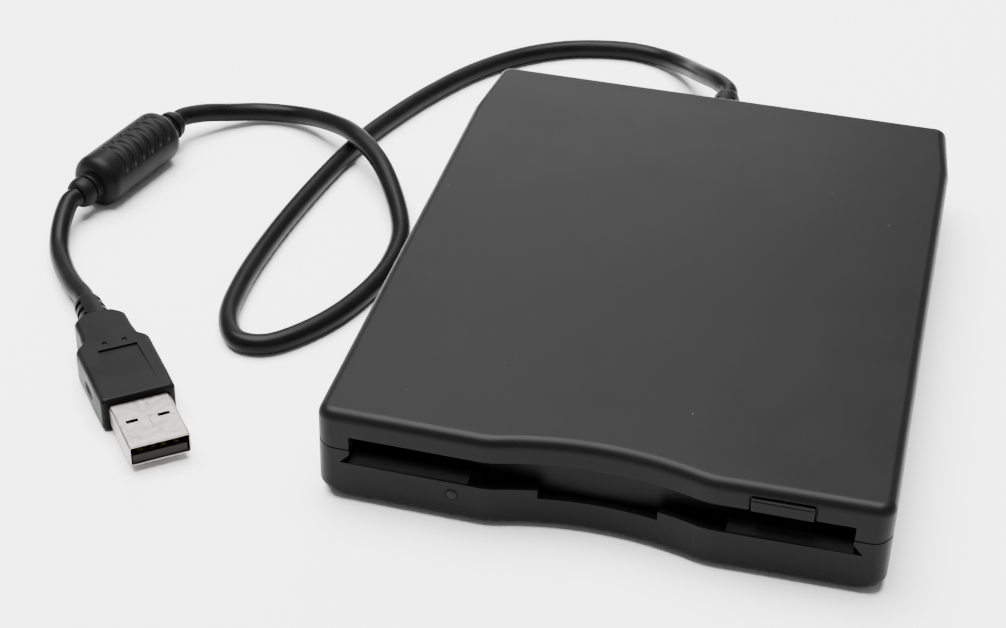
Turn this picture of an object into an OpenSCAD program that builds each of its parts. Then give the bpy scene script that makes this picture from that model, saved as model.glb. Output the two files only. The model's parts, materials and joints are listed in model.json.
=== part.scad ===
// External floppy disk drive with its captive USB lead.
// Frame: origin at the middle of the footprint on the surface it stands on,
// +X to the right seen from the front, +Y to the back, +Z up.

/* [Case] */
// Width of the case
body_w = 105; // [104:0.5:116]
// Depth of the case, front edge to back edge
body_d = 134.5; // [131:0.5:150]
// Height of the top face above the surface it stands on
body_h = 20.1; // [20:0.1:26]
// Height at which the top cover meets the bottom case
split_z = 12; // [11.5:0.1:12.2]
// Thickness of the side, front and back walls
wall = 1.6; // [1.2:0.1:1.9]
// Thickness of the top face and of the floor
plate_t = 1.6; // [1:0.1:1.8]
// Rounding along the edge of the top face
top_edge_r = 2.1; // [0.6:0.1:2.2]
// Rounding along the edge of the underside
low_edge_r = 1.0; // [0.4:0.1:1.4]
// Radius of the two front corners seen from above
front_corner_r = 3.2; // [2:0.1:5]
// Radius of the two back corners seen from above
rear_corner_r = 2.6; // [1.8:0.1:5]
// Length over which the sides draw in towards the back
taper_len = 19; // [14:1:22]
// How far each side draws in at the back
taper_in = 2; // [0.5:0.1:2.4]
// How far the front corners sweep back
front_sweep = 0.4; // [0.1:0.1:1]
// Half width of the finger recess in the front
recess_half = 19.6; // [14:0.2:22]
// Depth of the finger recess
recess_depth = 3.2; // [1.5:0.1:3.3]

/* [Feet and screws] */
// Diameter of a rubber foot
foot_d = 8; // [6:0.5:10]
// Height that the case stands off the surface
foot_proud = 1.0; // [0.6:0.1:1.2]
// Depth of the pocket that a foot is glued into
foot_pocket = 0.5; // [0.3:0.1:0.7]
// Diameter of a case screw's thread
screw_d = 1.9; // [1.6:0.1:2]
// Diameter of a case screw's head
screw_head_d = 3.4; // [3:0.1:3.6]

/* [Disk slot] */
// Width of the slot in the front
slot_w = 92; // [91.4:0.1:92.6]
// Height of the slot's upper edge
slot_top = 15; // [14.9:0.05:15.2]
// Height of the lower front wall beside the tongue
sill_z = 9; // [8.4:0.1:9.4]
// Height of the lower front wall in the middle
sill_mid_z = 7.1; // [6.9:0.1:8]
// Half width of the dip in the middle of the lower wall
sill_mid_half = 11; // [8:0.5:13]
// Where each lead-in ramp starts, out from the middle
ramp_from = 23.5; // [21:0.5:30]
// Height of the top of the lead-in ramps
ramp_z = 10.6; // [10:0.1:10.8]

/* [Disk] */
// Width of the disk that the drive takes
disk_w = 90; // [89.5:0.1:90.2]
// Thickness of the disk
disk_t = 3.3; // [3:0.1:3.35]
// How far the disk sinks onto the spindle
disk_drop = 2.2; // [1.8:0.1:2.3]

/* [Dust door] */
// Distance of the door's face behind the front edge
door_back = 5.1; // [5.1:0.1:6]
// Thickness of the door
door_t = 1.2; // [0.8:0.1:1.3]
// Height of the door's lower edge at its sides
door_low_z = 8.5; // [8:0.1:9]
// Height of the door's lower edge at its tongue
door_tongue_z = 6.4; // [6.2:0.1:7]
// Diameter of the hinge pin
hinge_d = 1.6; // [1.2:0.1:1.6]

/* [Eject button] */
// Middle of the button, right of the middle of the case
button_x = 33.1; // [30:0.1:36]
// Width of the button
button_w = 11.2; // [9:0.1:13]
// Height of the button's face
button_h = 2.7; // [2.2:0.1:2.8]
// How far the button stands proud of the front edge
button_proud = 0.6; // [0.3:0.1:1.2]
// Travel of the button and of the slide behind it
eject_travel = 5.5; // [4:0.1:6]

/* [Indicator] */
// Middle of the activity lamp, left of the middle of the case
led_x = 26.5; // [24:0.1:30]
// Height of the lamp's centre
led_z = 6.3; // [6.2:0.1:6.4]
// Diameter of the lamp
led_d = 2.2; // [1.6:0.1:2.4]
// How far the lamp's dome stands out of the front edge
led_proud = 0.4; // [0.2:0.1:0.5]

/* [Mechanism] */
// Thickness of the chassis sheet
chassis_t = 0.8; // [0.6:0.1:1]
// Thickness of the sheet of the holder and the slide
sheet_t = 0.6; // [0.5:0.05:0.7]
// Thickness of the circuit boards
board_t = 0.8; // [0.6:0.1:1]
// Height of the posts that carry the chassis
chassis_post_h = 2; // [1.8:0.1:2.2]
// Distance of the spindle in front of the middle
spindle_back = 18; // [17:0.5:19]
// Diameter of the rotor
rotor_d = 38; // [34:0.5:38.5]
// Diameter of the spindle's shaft
shaft_d = 3; // [2.5:0.1:3.4]
// Distance of the outermost track from the spindle
track_out = 39.5; // [39:0.1:40]
// Travel of the heads, outermost to innermost track
track_travel = 14.8; // [14:0.1:15]
// Diameter of the guide rod
rod_d = 2.4; // [2:0.1:2.6]
// Outer diameter of the lead screw
screw_rod_d = 2.4; // [2:0.1:2.6]
// Diameter of the stepper motor's can
stepper_d = 10; // [8:0.5:10]
// Length of the stepper motor's can
stepper_len = 11; // [8:0.5:11]
// Length of the upper head's arm, pivot to head
arm_len = 24; // [22:0.5:25]

/* [Lead] */
// Diameter of the cable
cable_d = 4.3; // [3.4:0.1:4.8]
// Diameter of the ferrite bead's sleeve
bead_d = 12; // [9:0.5:14]
// Length of the bead's barrel
bead_len = 26.5; // [20:0.5:30]
// Diameter of the bead's two necks
bead_neck_d = 6.8; // [6:0.2:8.4]
// Width of the metal plug shell
shell_w = 12; // [11.8:0.1:12.2]
// Height of the metal plug shell
shell_h = 4.5; // [4.3:0.1:4.7]
// Length of the shell that shows
shell_len = 13.6; // [11.8:0.2:14]
// Thickness of the shell's sheet
shell_t = 0.3; // [0.25:0.05:0.4]
// Width of the plug's grip
grip_w = 15; // [14:0.2:16.5]
// Height of the plug's grip
grip_h = 7.6; // [7:0.1:9]
// Length of the plug's grip
grip_len = 20; // [16:0.5:22]
// Length of the strain relief at the back of the case
relief_len = 12.45; // [12.4:0.05:12.5]
// Diameter of that strain relief at its free end
relief_tip_d = 6.2; // [5.4:0.1:6.6]

/* [Hidden] */

// Running clearance between pieces that slide or turn
run = 0.1;
// Clearance between loose neighbours
gap = 0.3;
// Overreach of a cut, so that it clears the face it goes through
cut = 1;
// Fineness of true circles
fine = 48;

// Front and back edges of the case: the button's face is the foremost point
front_y = (button_proud - body_d) / 2;
rear_y = front_y + body_d;
floor_top = foot_proud + plate_t;
roof_z = body_h - plate_t;
side_in = body_w / 2 - wall;

// Finger recess: one arc, sagging recess_depth over its width
recess_r = (pow(recess_half, 2) + pow(recess_depth, 2)) / (2 * recess_depth);
recess_cy = front_y + recess_depth - recess_r;
recess_steps = 12;
corner_steps = 5;

// Where the slot's ends bevel out in the lower wall
bevel_out = 1.8;
bevel_z = 2;
ramp_run = 2;
ramp_end = 3.4;

// Front screw posts stand outside the slot and carry the door's hinge
post_w = 5.4;
front_post_x = slot_w / 2 + 0.3;
hinge_y = front_y + door_back + door_t / 2;
hinge_z = slot_top + 0.9;
front_screw_x = front_post_x + 2.7;
rear_post_x = body_w / 2 - 7;
rear_post_y = rear_y - 9.3;
rear_post_d = 5.6;
screw_top = hinge_z - hinge_d / 2 - gap;
head_seat_z = floor_top + 2.4;
head_h = 1.3;
front_screws = [[front_screw_x, hinge_y], [-front_screw_x, hinge_y]];
rear_screws = [[rear_post_x, rear_post_y], [-rear_post_x, rear_post_y]];

// Feet
foot_x = body_w / 2 - 12.5;
foot_y = body_d / 2 - 13;

// Length of the lamp, from the tip of its dome to its back
led_back = 5.7;

// Disk and what holds it
disk_z = slot_top - gap - disk_t;
holder_in = disk_w / 2 + 0.5;
holder_out = holder_in + sheet_t;
holder_setback = 18.7;
holder_len = 75;
holder_front = front_y + holder_setback;
holder_back = holder_front + holder_len;
holder_top = disk_z + disk_t + 0.15;
lip_z = disk_z - 0.2 - sheet_t;
lip_w = 2.1;
arm_window = 9.5;
window_front = 1;
holder_hole_x = 26;
holder_hole_d = 18;
pin_z = holder_top - 1.4;
pin_d = 1.6;
pin_slot = pin_d + 2 * run + 0.2;
pin_ys = [holder_front + 10, holder_back - 15];

// Chassis
chassis_z = floor_top + chassis_post_h;
chassis_top = chassis_z + chassis_t;
chassis_in = holder_out + 0.6;
chassis_out = chassis_in + chassis_t;
chassis_front = hinge_y + post_w / 2 + 0.8;
chassis_back = 50;
chassis_post_x = chassis_out - 4;
chassis_post_front = chassis_front + 5.5;
chassis_post_back = chassis_back - 4;
chassis_post_d = 5;
chassis_posts = [for (x = [-1, 1], y = [chassis_post_front, chassis_post_back])
                 [x * chassis_post_x, y]];

// Slide: a frame over the holder with a slotted flange outside each chassis wall
slide_z = holder_top + sheet_t + 1.45;
slide_in = chassis_out + 0.4;
slide_out = slide_in + sheet_t;
slide_front = holder_front + 3;
slide_len = 67;
slide_back = slide_front + slide_len;
slide_rail = 12;
slide_bridge = 9;
flange_z = pin_z - disk_drop - 1.9;
chassis_wall_top = slide_z - run;
stem_z = slide_z;
stem_t = 1.0;
stem_w = button_w - 3.2;
stem_back = slide_front - 5;
button_z = slot_top + 0.2;
button_back = front_y + 4.2;

// Eject springs, under the flanges
spring_x = chassis_out + 1.5;
spring_z = flange_z - 1.8;
spring_front = slide_front + 5;
spring_len = 22;
spring_back = spring_front + spring_len;
spring_stop_t = 1.2;
spring_r = 1.0;
spring_wire = 0.4;
spring_turns = 8;

// Trigger lever: the disk's leading edge pushes its tip back
lever_x = -22;
lever_y = 40;
lever_len = 22;
lever_rest = -115;
lever_swing = 38;
lever_z = chassis_top + 4.4;
lever_t = 0.8;
lever_tip_d = 2.4;
lever_tip_top = disk_z + 1.5;
lever_pin_d = 2;

// Spindle motor
spindle_y = -spindle_back;
board_z = chassis_z - board_t;
rotor_z = chassis_z + 0.4;
rotor_top = chassis_z + 4;
rotor_rim = 1.4;
magnet_t = 0.9;
rotor_plate = 0.8;
shaft_top = rotor_top + 1.7;
bearing_d = shaft_d + 4;
bearing_top = rotor_top - rotor_plate - 0.3;
coil_out = rotor_d / 2 - rotor_rim - magnet_t - 0.5;
coil_in = bearing_d / 2 + 2.5;
coil_h = 2.2;
coil_count = 9;
drive_pin_r = 10.4;
drive_pin_d = 1.8;
chassis_hole_d = rotor_d + 4;
motor_board_half = 27;
motor_board_front = spindle_y - 26;
motor_board_back = spindle_y + 22;
led_tab_half = 3.5;

// Head carriage, drawn at the outermost track
head_y = spindle_y + track_out;
rail_z = chassis_top + 2.4;
rod_x = -13;
lead_x = 16;
carriage_z = chassis_top + 0.6;
carriage_top = rail_z + 1.6;
carriage_front = head_y - 4;
carriage_back = head_y + 8;
tail_half = 7;
tail_back = head_y + arm_len + 2;
tail_top = rail_z + 0.6;
arm_y = head_y + arm_len;
arm_z = holder_top + 0.35;
arm_hinge_z = arm_z;
arm_plate_z = arm_z + 0.4;
arm_t = 1.0;
arm_half = 5;
arm_pin_d = 1.6;
ear_t = 1.4;
rod_front = 0.2;
rod_back = chassis_back - 2.5;
clamp_t = 2;
bracket_y = 0.4;
bracket_t = 1.8;
stepper_y = 38;
thread_lead = 3;

// Boards
main_front = 8;
main_back = 48.5;
main_half = chassis_post_x - chassis_post_d / 2 - 0.7;
iface_half = 38;
iface_front = 51.5;
iface_back = rear_y - wall - 1.4;
iface_z = floor_top + 3;
iface_t = 1.0;
ribbon_x = -25;
ribbon_w = 10;
connector_d = 3.5;
connector_h = 1.8;
iface_screw_x = 33;
iface_mid_y = (iface_front + iface_back) / 2;

// Chips: middle and width of the two on the main board, which show through the chassis
chip_left_x = -29;
chip_left_w = 12;
chip_right_x = 30;
chip_right_w = 10;
chip_y = main_front + 12;
chip_t = 1.4;
chip_window = 16;
// Driver chips under the motor board and the main board
driver_t = 0.8;
motor_driver_x = -21;
motor_driver_y = spindle_y - 23.5;
head_driver_x = 28;
head_driver_y = main_front + 25;
driver_w = 6;
driver_d = 4;

// Chips of the interface board: the bridge and its crystal
bridge_x = 13.5;
bridge_w = 9;
crystal_x = 25;

// Sensors: the two at the disk's front corners, the one beside the spindle, the track sensor
sensor_w = 4;
sensor_x = disk_w / 2 - 5.5;
sensor_y = chassis_front + 11;
sensor_top = disk_z - disk_drop - 0.6;
disk_sensor_x = -30;
disk_sensor_y = spindle_y + 6;
track_sensor_x = -21.5;
track_sensor_y = 28;
track_sensor_w = 6;
track_sensor_h = 3.6;
track_sensor_slot = 2;

// Strain relief of the lead, clamped on the parting line
relief_z = split_z;
relief_neck_d = 6;
relief_flange_d = 8.6;
relief_end = rear_y + relief_len;

// Ferrite bead: its ends on the surface, the first towards the plug
bead_low = [-131.82, 8.09];
bead_high = [-122.55, 44.18];
bead_dir = (bead_high - bead_low) / norm(bead_high - bead_low);
bead_neck_len = (norm(bead_high - bead_low) - bead_len) / 2;
// Plug: the front of its shell and the back of its strain relief, on the surface
plug_tip = [-83.13, -66.31];
plug_end = [-115.09, -25.92];
plug_dir = (plug_tip - plug_end) / norm(plug_tip - plug_end);
grip_neck_w = 10.6;
grip_neck_len = 9;
plug_relief_d = 6.4;
plug_relief_len = norm(plug_tip - plug_end) - shell_len - grip_len - grip_neck_len;
shell_z = (grip_h - shell_h) / 2;

// Route of the lead's centre line, from the case to the bead and on to the plug
cable_route = [[0, 80, 12], [-0.4, 84, 12], [-3.9, 89.6, 11], [-8.8, 97.1, 8.2],
    [-13.8, 105.8, 4.8], [-20, 112.1, 2.8], [-28.5, 114.6, 2.25], [-38.2, 113.4, 2.15],
    [-47.3, 109.8, 2.15], [-56.2, 103.1, 2.15], [-64.5, 92.9, 2.15], [-71.2, 80.7, 2.15],
    [-76.5, 68.2, 2.15], [-81.1, 54.2, 2.15], [-84.4, 37.1, 2.15], [-86.7, 19.9, 2.15],
    [-87.9, 4.7, 2.15], [-88, -8.9, 2.15], [-86.6, -19.9, 2.15], [-82.5, -27, 2.15],
    [-76.3, -27.2, 2.15], [-70.5, -21.7, 2.15], [-65.3, -13.1, 2.15], [-61.6, -2.4, 2.15],
    [-60.2, 8, 2.2], [-61.2, 19, 2.6], [-65.7, 29.8, 4.2], [-72.6, 40.5, 6.3],
    [-81.1, 48.9, 7.1], [-89.5, 55.1, 5.5], [-98, 59.6, 3.2], [-106.6, 59.6, 2.7],
    [-113, 55.9, 3.6], [-118.2, 51.2, 5.2], [-121.85, 46.89, 6], [-122.55, 44.18, 6]];
tail_route = [[-131.82, 8.09, 6], [-132.52, 5.38, 5.8], [-131.5, -1.2, 4.4],
    [-129.2, -7.8, 2.9], [-125.4, -14, 2.7], [-121, -19.6, 3.3], [-117, -23.55, 3.8],
    [-115.09, -25.92, 3.8]];
cable_sides = 8;
cable_steps = 2;
tail_steps = 3;

// ---------- shared geometry ----------

function unit(v) = v / norm(v);
function flat(v) = [v[0], v[1], 0];

// Points of the arc that rounds the corner q between p and s
function corner(p, q, s, r, n) =
    let (u = unit(p - q), v = unit(s - q), half = acos(u * v) / 2,
         c = q + unit(u + v) * r / sin(half),
         a = q + u * r / tan(half) - c, b = q + v * r / tan(half) - c,
         a0 = atan2(a[1], a[0]), turn = atan2(b[1], b[0]) - a0,
         sweep = turn > 180 ? turn - 360 : turn < -180 ? turn + 360 : turn)
    [for (k = [0:n]) c + r * [cos(a0 + sweep * k / n), sin(a0 + sweep * k / n)]];

// Outline of the case seen from above, moved in by i
function outline(i) =
    let (hw = body_w / 2 - i, yf = front_y + i, yr = rear_y - i, r = recess_r + i,
         half = asin(sqrt(pow(r, 2) - pow(yf - recess_cy, 2)) / r),
         arc = [for (k = [0:recess_steps]) let (a = 90 + half - 2 * half * k / recess_steps)
                [r * cos(a), recess_cy + r * sin(a)]],
         fl = [-hw, yf + front_sweep], fr = [hw, yf + front_sweep],
         kl = [-hw, rear_y - taper_len], kr = [hw, rear_y - taper_len],
         rr = [hw - taper_in, yr], rl = [-hw + taper_in, yr],
         rf = max(0.3, front_corner_r - i), rb = max(0.3, rear_corner_r - i))
    concat(corner(kl, fl, arc[0], rf, corner_steps), arc,
           corner(arc[recess_steps], fr, kr, rf, corner_steps), [kr],
           corner(kr, rr, rl, rb, corner_steps), corner(rr, rl, kl, rb, corner_steps), [kl]);

// Solid through the outlines in levels, each a height and an inset
module case_solid(levels) {
    rings = [for (l = levels) [for (p = outline(l[1])) [p[0], p[1], l[0]]]];
    skin_solid(rings);
}

// Closed solid through rings of equally many points, from its first to its last end
module skin_solid(rings) {
    n = len(rings[0]);
    last = len(rings) - 1;
    points = [for (r = rings) for (p = r) p];
    sides = [for (k = [0:last - 1]) for (j = [0:n - 1]) for (h = [0, 1])
             let (a = k * n + j, b = k * n + (j + 1) % n)
             h == 0 ? [a, a + n, b] : [b, a + n, b + n]];
    low = [[for (j = [0:n - 1]) j]];
    high = [[for (j = [n - 1:-1:0]) last * n + j]];
    polyhedron(points, concat(low, sides, high), convexity = 6);
}

// Smooth curve through hand-set points: n steps between each two
function spline_at(p0, p1, p2, p3, t) =
    0.5 * (2 * p1 + (p2 - p0) * t + (2 * p0 - 5 * p1 + 4 * p2 - p3) * t * t
           + (3 * p1 - p0 - 3 * p2 + p3) * t * t * t);
function smooth(p, n) =
    let (m = len(p) - 1)
    [for (k = [0:m - 1]) for (j = [0:n - 1])
     spline_at(p[max(k - 1, 0)], p[k], p[k + 1], p[min(k + 2, m)], j / n), p[m]];

// Rings of a round tube along a path, its end faces square to two given headings
function tube_rings(path, r, sides, start, end) =
    let (m = len(path) - 1)
    [for (k = [0:m])
     let (t = k == 0 ? start : k == m ? end : unit(path[k + 1] - path[k - 1]),
          s = unit(cross(t, [0, 0, 1])), u = cross(s, t))
     [for (j = [0:sides - 1]) let (a = -360 * (j + 0.5) / sides)
      path[k] + r * (cos(a) * s + sin(a) * u)]];

// Helix about the X axis: turns of radius r, pitch apart
function helix(r, pitch, turns, per_turn) =
    [for (k = [0:turns * per_turn]) let (a = 360 * k / per_turn)
     [pitch * k / per_turn, r * cos(a), r * sin(a)]];

// Rings of a wire along a helix about X, each square to the wire
function wire_rings(path, r, sides) =
    let (m = len(path) - 1)
    [for (k = [0:m])
     let (t = unit(path[min(k + 1, m)] - path[max(k - 1, 0)]),
          s = unit(cross(t, [1, 0, 0])), u = cross(s, t))
     [for (j = [0:sides - 1]) let (a = -360 * j / sides)
      path[k] + r * (cos(a) * s + sin(a) * u)]];

module coil_spring(r, wire, pitch, turns)
    skin_solid(wire_rings(helix(r, pitch, turns, 8), wire / 2, 6));

// Box from its ranges along X, Y and Z
module span(x, y, z)
    translate([x[0], y[0], z[0]]) cube([x[1] - x[0], y[1] - y[0], z[1] - z[0]]);

// Box w by d about a point seen from above
module block(x, y, w, d, z) span([x - w / 2, x + w / 2], [y - d / 2, y + d / 2], z);

module rod_z(p, z, d) translate([p[0], p[1], z[0]]) cylinder(h = z[1] - z[0], d = d, $fn = fine);
module rod_y(x, y, z, d)
    translate([x, y[0], z]) rotate([-90, 0, 0]) cylinder(h = y[1] - y[0], d = d, $fn = fine);
module rod_x(x, y, z, d)
    translate([x[0], y, z]) rotate([0, 90, 0]) cylinder(h = x[1] - x[0], d = d, $fn = fine);

// The children, and the same again on the other side
module both_sides() {
    children();
    mirror([1, 0, 0]) children();
}

// ---------- case ----------

// Inside of the case seen from above, less the posts that stand in its front corners
module hollow()
    difference() {
        polygon(outline(wall));
        both_sides() translate([front_post_x, hinge_y - post_w / 2])
            square([side_in + cut - front_post_x, post_w]);
    }

module top_cover() {
    round_steps = 4;
    rim = [for (k = [0:round_steps]) let (a = 90 * k / round_steps)
           [body_h - top_edge_r + top_edge_r * sin(a), top_edge_r * (1 - cos(a))]];
    color([0.2, 0.2, 0.2]) difference() {
        union() {
            difference() {
                case_solid(concat([[split_z - cut, 0]], rim));
                span([-body_w, body_w], [-body_d, body_d], [split_z - 2 * cut, split_z]);
                translate([0, 0, split_z - 3 * cut])
                    linear_extrude(roof_z - split_z + 3 * cut) hollow();
            }
            both_sides()
                rod_z([rear_post_x, rear_post_y], [split_z, roof_z + 0.1], rear_post_d);
        }
        span([-slot_w / 2, slot_w / 2], [front_y - cut, front_y + recess_depth + wall + 0.1],
             [split_z - cut, slot_top]);
        span([button_x - button_w / 2 - gap, button_x + button_w / 2 + gap],
             [front_y - cut, front_y + 3], [slot_top - cut, button_z + button_h + gap]);
        for (p = concat(front_screws, rear_screws))
            rod_z(p, [split_z - cut, screw_top], screw_d);
        both_sides()
            rod_x([front_post_x - cut, front_post_x + 1.3], hinge_y, hinge_z, hinge_d + 2 * run);
        rod_y(0, [rear_y - wall - cut, rear_y + cut], relief_z, relief_neck_d + 2 * run);
    }
}

module sill_profile()
    polygon([[-slot_w / 2, split_z + cut], [-slot_w / 2, sill_z + bevel_z],
             [-slot_w / 2 - bevel_out, sill_z], [-sill_mid_half, sill_z],
             [-sill_mid_half, sill_mid_z], [sill_mid_half, sill_mid_z], [sill_mid_half, sill_z],
             [slot_w / 2 + bevel_out, sill_z], [slot_w / 2, sill_z + bevel_z],
             [slot_w / 2, split_z + cut]]);

module lead_in_ramp()
    translate([ramp_from, front_y, 0]) rotate([90, 0, 90])
        linear_extrude(slot_w / 2 + 0.2 - ramp_from)
            polygon([[front_sweep, sill_z], [front_sweep + ramp_run, ramp_z],
                     [ramp_end, ramp_z], [ramp_end, sill_z - 2.4],
                     [wall - 0.3, sill_z - 2.4]]);

module bottom_case() {
    round_steps = 3;
    rim = [for (k = [round_steps:-1:0]) let (a = 90 * k / round_steps)
           [foot_proud + low_edge_r * (1 - sin(a)), low_edge_r * (1 - cos(a))]];
    color([0.17, 0.17, 0.17]) difference() {
        union() {
            difference() {
                case_solid(concat(rim, [[split_z + cut, 0]]));
                span([-body_w, body_w], [-body_d, body_d], [split_z, split_z + 2 * cut]);
                translate([0, 0, floor_top])
                    linear_extrude(split_z - floor_top + 3 * cut) hollow();
            }
            both_sides() {
                rod_z([rear_post_x, rear_post_y], [floor_top - 0.1, split_z], rear_post_d);
                lead_in_ramp();
                rod_z([iface_screw_x, iface_mid_y], [floor_top - 0.1, iface_z], 4);
            }
            for (p = chassis_posts) rod_z(p, [floor_top - 0.1, chassis_z], chassis_post_d);
        }
        translate([0, front_y + recess_depth + wall + 0.1, 0]) rotate([90, 0, 0])
            linear_extrude(recess_depth + wall + 0.1 + cut) sill_profile_above();
        for (p = concat(front_screws, rear_screws)) {
            rod_z(p, [foot_proud - cut, head_seat_z], screw_head_d + 0.4);
            rod_z(p, [foot_proud, split_z + cut], screw_d + 0.3);
        }
        for (p = chassis_posts) rod_z(p, [floor_top, chassis_z + cut], 1.6);
        for (x = [-foot_x, foot_x], y = [-foot_y, foot_y])
            rod_z([x, y], [foot_proud - cut, foot_proud + foot_pocket], foot_d + 2 * run);
        both_sides() rod_z([iface_screw_x, iface_mid_y], [floor_top, iface_z + cut], 1.6);
        rod_y(-led_x, [front_y - cut, front_y + ramp_end + cut], led_z, led_d + 2 * run);
        rod_y(0, [rear_y - wall - cut, rear_y + cut], relief_z, relief_neck_d + 2 * run);
    }
}

// What is cut from the lower front wall, without the ramps behind it
module sill_profile_above()
    difference() {
        sill_profile();
        for (s = [-1, 1])
            translate([s * (slot_w / 2 + ramp_from) / 2, sill_z])
                square([slot_w / 2 - ramp_from, 2 * (ramp_z - sill_z)], center = true);
    }

module rubber_feet() {
    color([0.08, 0.08, 0.08])
        for (x = [-foot_x, foot_x], y = [-foot_y, foot_y])
            rod_z([x, y], [0, foot_proud + foot_pocket], foot_d);
}

module case_screws() {
    color([0.6, 0.6, 0.62])
        for (p = concat(front_screws, rear_screws)) difference() {
            union() {
                rod_z(p, [head_seat_z - head_h, head_seat_z], screw_head_d);
                rod_z(p, [head_seat_z, screw_top], screw_d);
            }
            translate([p[0], p[1], head_seat_z - head_h + 0.3]) {
                cube([2.2, 0.5, 0.8], center = true);
                cube([0.5, 2.2, 0.8], center = true);
            }
        }
}

// ---------- front ----------

module eject_button() {
    color([0.16, 0.16, 0.16]) union() {
        span([button_x - button_w / 2, button_x + button_w / 2],
             [front_y - button_proud, button_back], [button_z, button_z + button_h]);
        span([button_x - stem_w / 2, button_x + stem_w / 2], [button_back - 0.1, stem_back],
             [stem_z, stem_z + stem_t]);
    }
}

module dust_door() {
    half = front_post_x - 0.4;
    color([0.12, 0.12, 0.12]) difference() {
        union() {
            translate([0, hinge_y + door_t / 2, 0]) rotate([90, 0, 0]) linear_extrude(door_t)
                polygon([[-half, hinge_z], [-half, door_low_z], [-recess_half, door_low_z],
                         [-sill_mid_half, door_tongue_z], [sill_mid_half, door_tongue_z],
                         [recess_half, door_low_z], [half, door_low_z], [half, hinge_z]]);
            rod_x([-half - 1.1, half + 1.1], hinge_y, hinge_z, hinge_d);
        }
        difference() {
            span([-half - 2, -half + 3.6], [hinge_y - 2, hinge_y + 2], [hinge_z - 1.8, hinge_z + 2]);
            rod_x([-half - 3, -half + 4], hinge_y, hinge_z, hinge_d);
        }
    }
}

module door_spring() {
    color([0.75, 0.75, 0.75])
        translate([-front_post_x + 1, hinge_y, hinge_z])
            coil_spring(hinge_d / 2 + 0.5, 0.3, 0.7, 3);
}

module activity_led() {
    r = led_d / 2;
    color([0.3, 0.7, 0.3]) translate([-led_x, front_y - led_proud + r, led_z])
        rotate([-90, 0, 0]) {
            intersection() {
                sphere(r = r, $fn = fine);
                translate([0, 0, -r]) cylinder(h = r, d = led_d + cut, $fn = fine);
            }
            cylinder(h = led_back - r - 0.8, d = led_d, $fn = fine);
            translate([0, 0, led_back - r - 0.8]) cylinder(h = 0.8, d = led_d + 0.6, $fn = fine);
        }
    color([0.8, 0.8, 0.8]) for (s = [-0.6, 0.6])
        span([-led_x + s - 0.2, -led_x + s + 0.2],
             [front_y - led_proud + led_back, front_y - led_proud + led_back + 1],
             [chassis_z, led_z + 0.4]);
}

// ---------- chassis, holder, slide ----------

module chassis() {
    color([0.72, 0.73, 0.75]) difference() {
        union() {
            span([-chassis_out, chassis_out], [chassis_front, chassis_back],
                 [chassis_z, chassis_top]);
            both_sides() {
                span([chassis_in, chassis_out], [chassis_front, chassis_back - 10],
                     [chassis_z, chassis_wall_top]);
                span([chassis_out - 0.1, spring_x + 1], [spring_front - 1.4, spring_front - 0.5],
                     [spring_z - 1.4, spring_z + 1.4]);
            }
        }
        rod_z([0, spindle_y], [chassis_z - cut, chassis_top + cut], chassis_hole_d);
        for (p = chassis_posts) rod_z(p, [chassis_z - cut, chassis_top + cut], 2.2);
        both_sides() for (y = pin_ys)
            span([chassis_in - cut, chassis_out + cut], [y - pin_slot / 2, y + pin_slot / 2],
                 [pin_z - disk_drop - pin_slot / 2, pin_z + pin_slot / 2]);
        for (x = [chip_left_x, chip_right_x])
            block(x, chip_y, chip_window, chip_window, [chassis_z - cut, chassis_top + cut]);
        span([ribbon_x - ribbon_w / 2 - 2, ribbon_x + ribbon_w / 2 + 2],
             [main_back - 6, chassis_back + cut], [chassis_z - cut, chassis_top + cut]);
        span([lead_x - stepper_d / 2 - 0.5, lead_x + stepper_d / 2 + 0.5],
             [stepper_y - 0.4, chassis_back + cut], [chassis_z - cut, chassis_top + cut]);
        span([-tail_half, tail_half], [main_front + 10, chassis_back - 4],
             [chassis_z - cut, chassis_top + cut]);
        rod_z([lever_x, lever_y], [chassis_z - cut, chassis_top + cut], 2);
    }
}

module chassis_screws() {
    color([0.55, 0.55, 0.58]) for (p = chassis_posts) {
        rod_z(p, [chassis_top, chassis_top + 0.9], 3.4);
        rod_z(p, [floor_top + 0.2, chassis_top], 1.6);
    }
}

module disk_holder() {
    color([0.78, 0.79, 0.8]) difference() {
        union() {
            span([-holder_out, holder_out], [holder_front, holder_back],
                 [holder_top, holder_top + sheet_t]);
            both_sides() {
                span([holder_in, holder_out], [holder_front, holder_back],
                     [lip_z, holder_top + 0.1]);
                span([holder_in - lip_w, holder_out], [holder_front, holder_back],
                     [lip_z, lip_z + sheet_t]);
            }
        }
        span([-arm_window, arm_window], [window_front, holder_back + cut],
             [holder_top - cut, holder_top + sheet_t + cut]);
        for (x = [-holder_hole_x, holder_hole_x])
            rod_z([x, spindle_y], [holder_top - cut, holder_top + sheet_t + cut], holder_hole_d);
        both_sides() for (y = pin_ys)
            rod_x([holder_in - cut, holder_out + cut], y, pin_z, pin_d);
    }
}

module holder_pins() {
    color([0.6, 0.6, 0.62]) both_sides() for (y = pin_ys)
        rod_x([holder_in, slide_out + 0.3], y, pin_z, pin_d);
}

// One flange of the slide, with a sloped slot for each holder pin
module slide_flange()
    difference() {
        span([slide_in, slide_out], [slide_front, slide_back], [flange_z, slide_z + sheet_t]);
        for (y = pin_ys) {
            for (e = [[0, 0], [eject_travel, -disk_drop]])
                rod_x([slide_in - cut, slide_out + cut], y + e[0], pin_z + e[1], pin_slot);
            translate([slide_in - cut, y, pin_z]) rotate([90, 0, 90])
                linear_extrude(sheet_t + 2 * cut) slot_band();
        }
    }

// Straight part of a sloped slot, from its upper to its lower end
module slot_band() {
    run_len = norm([eject_travel, disk_drop]);
    rotate(-atan2(disk_drop, eject_travel))
        translate([0, -pin_slot / 2]) square([run_len, pin_slot]);
}

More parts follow.
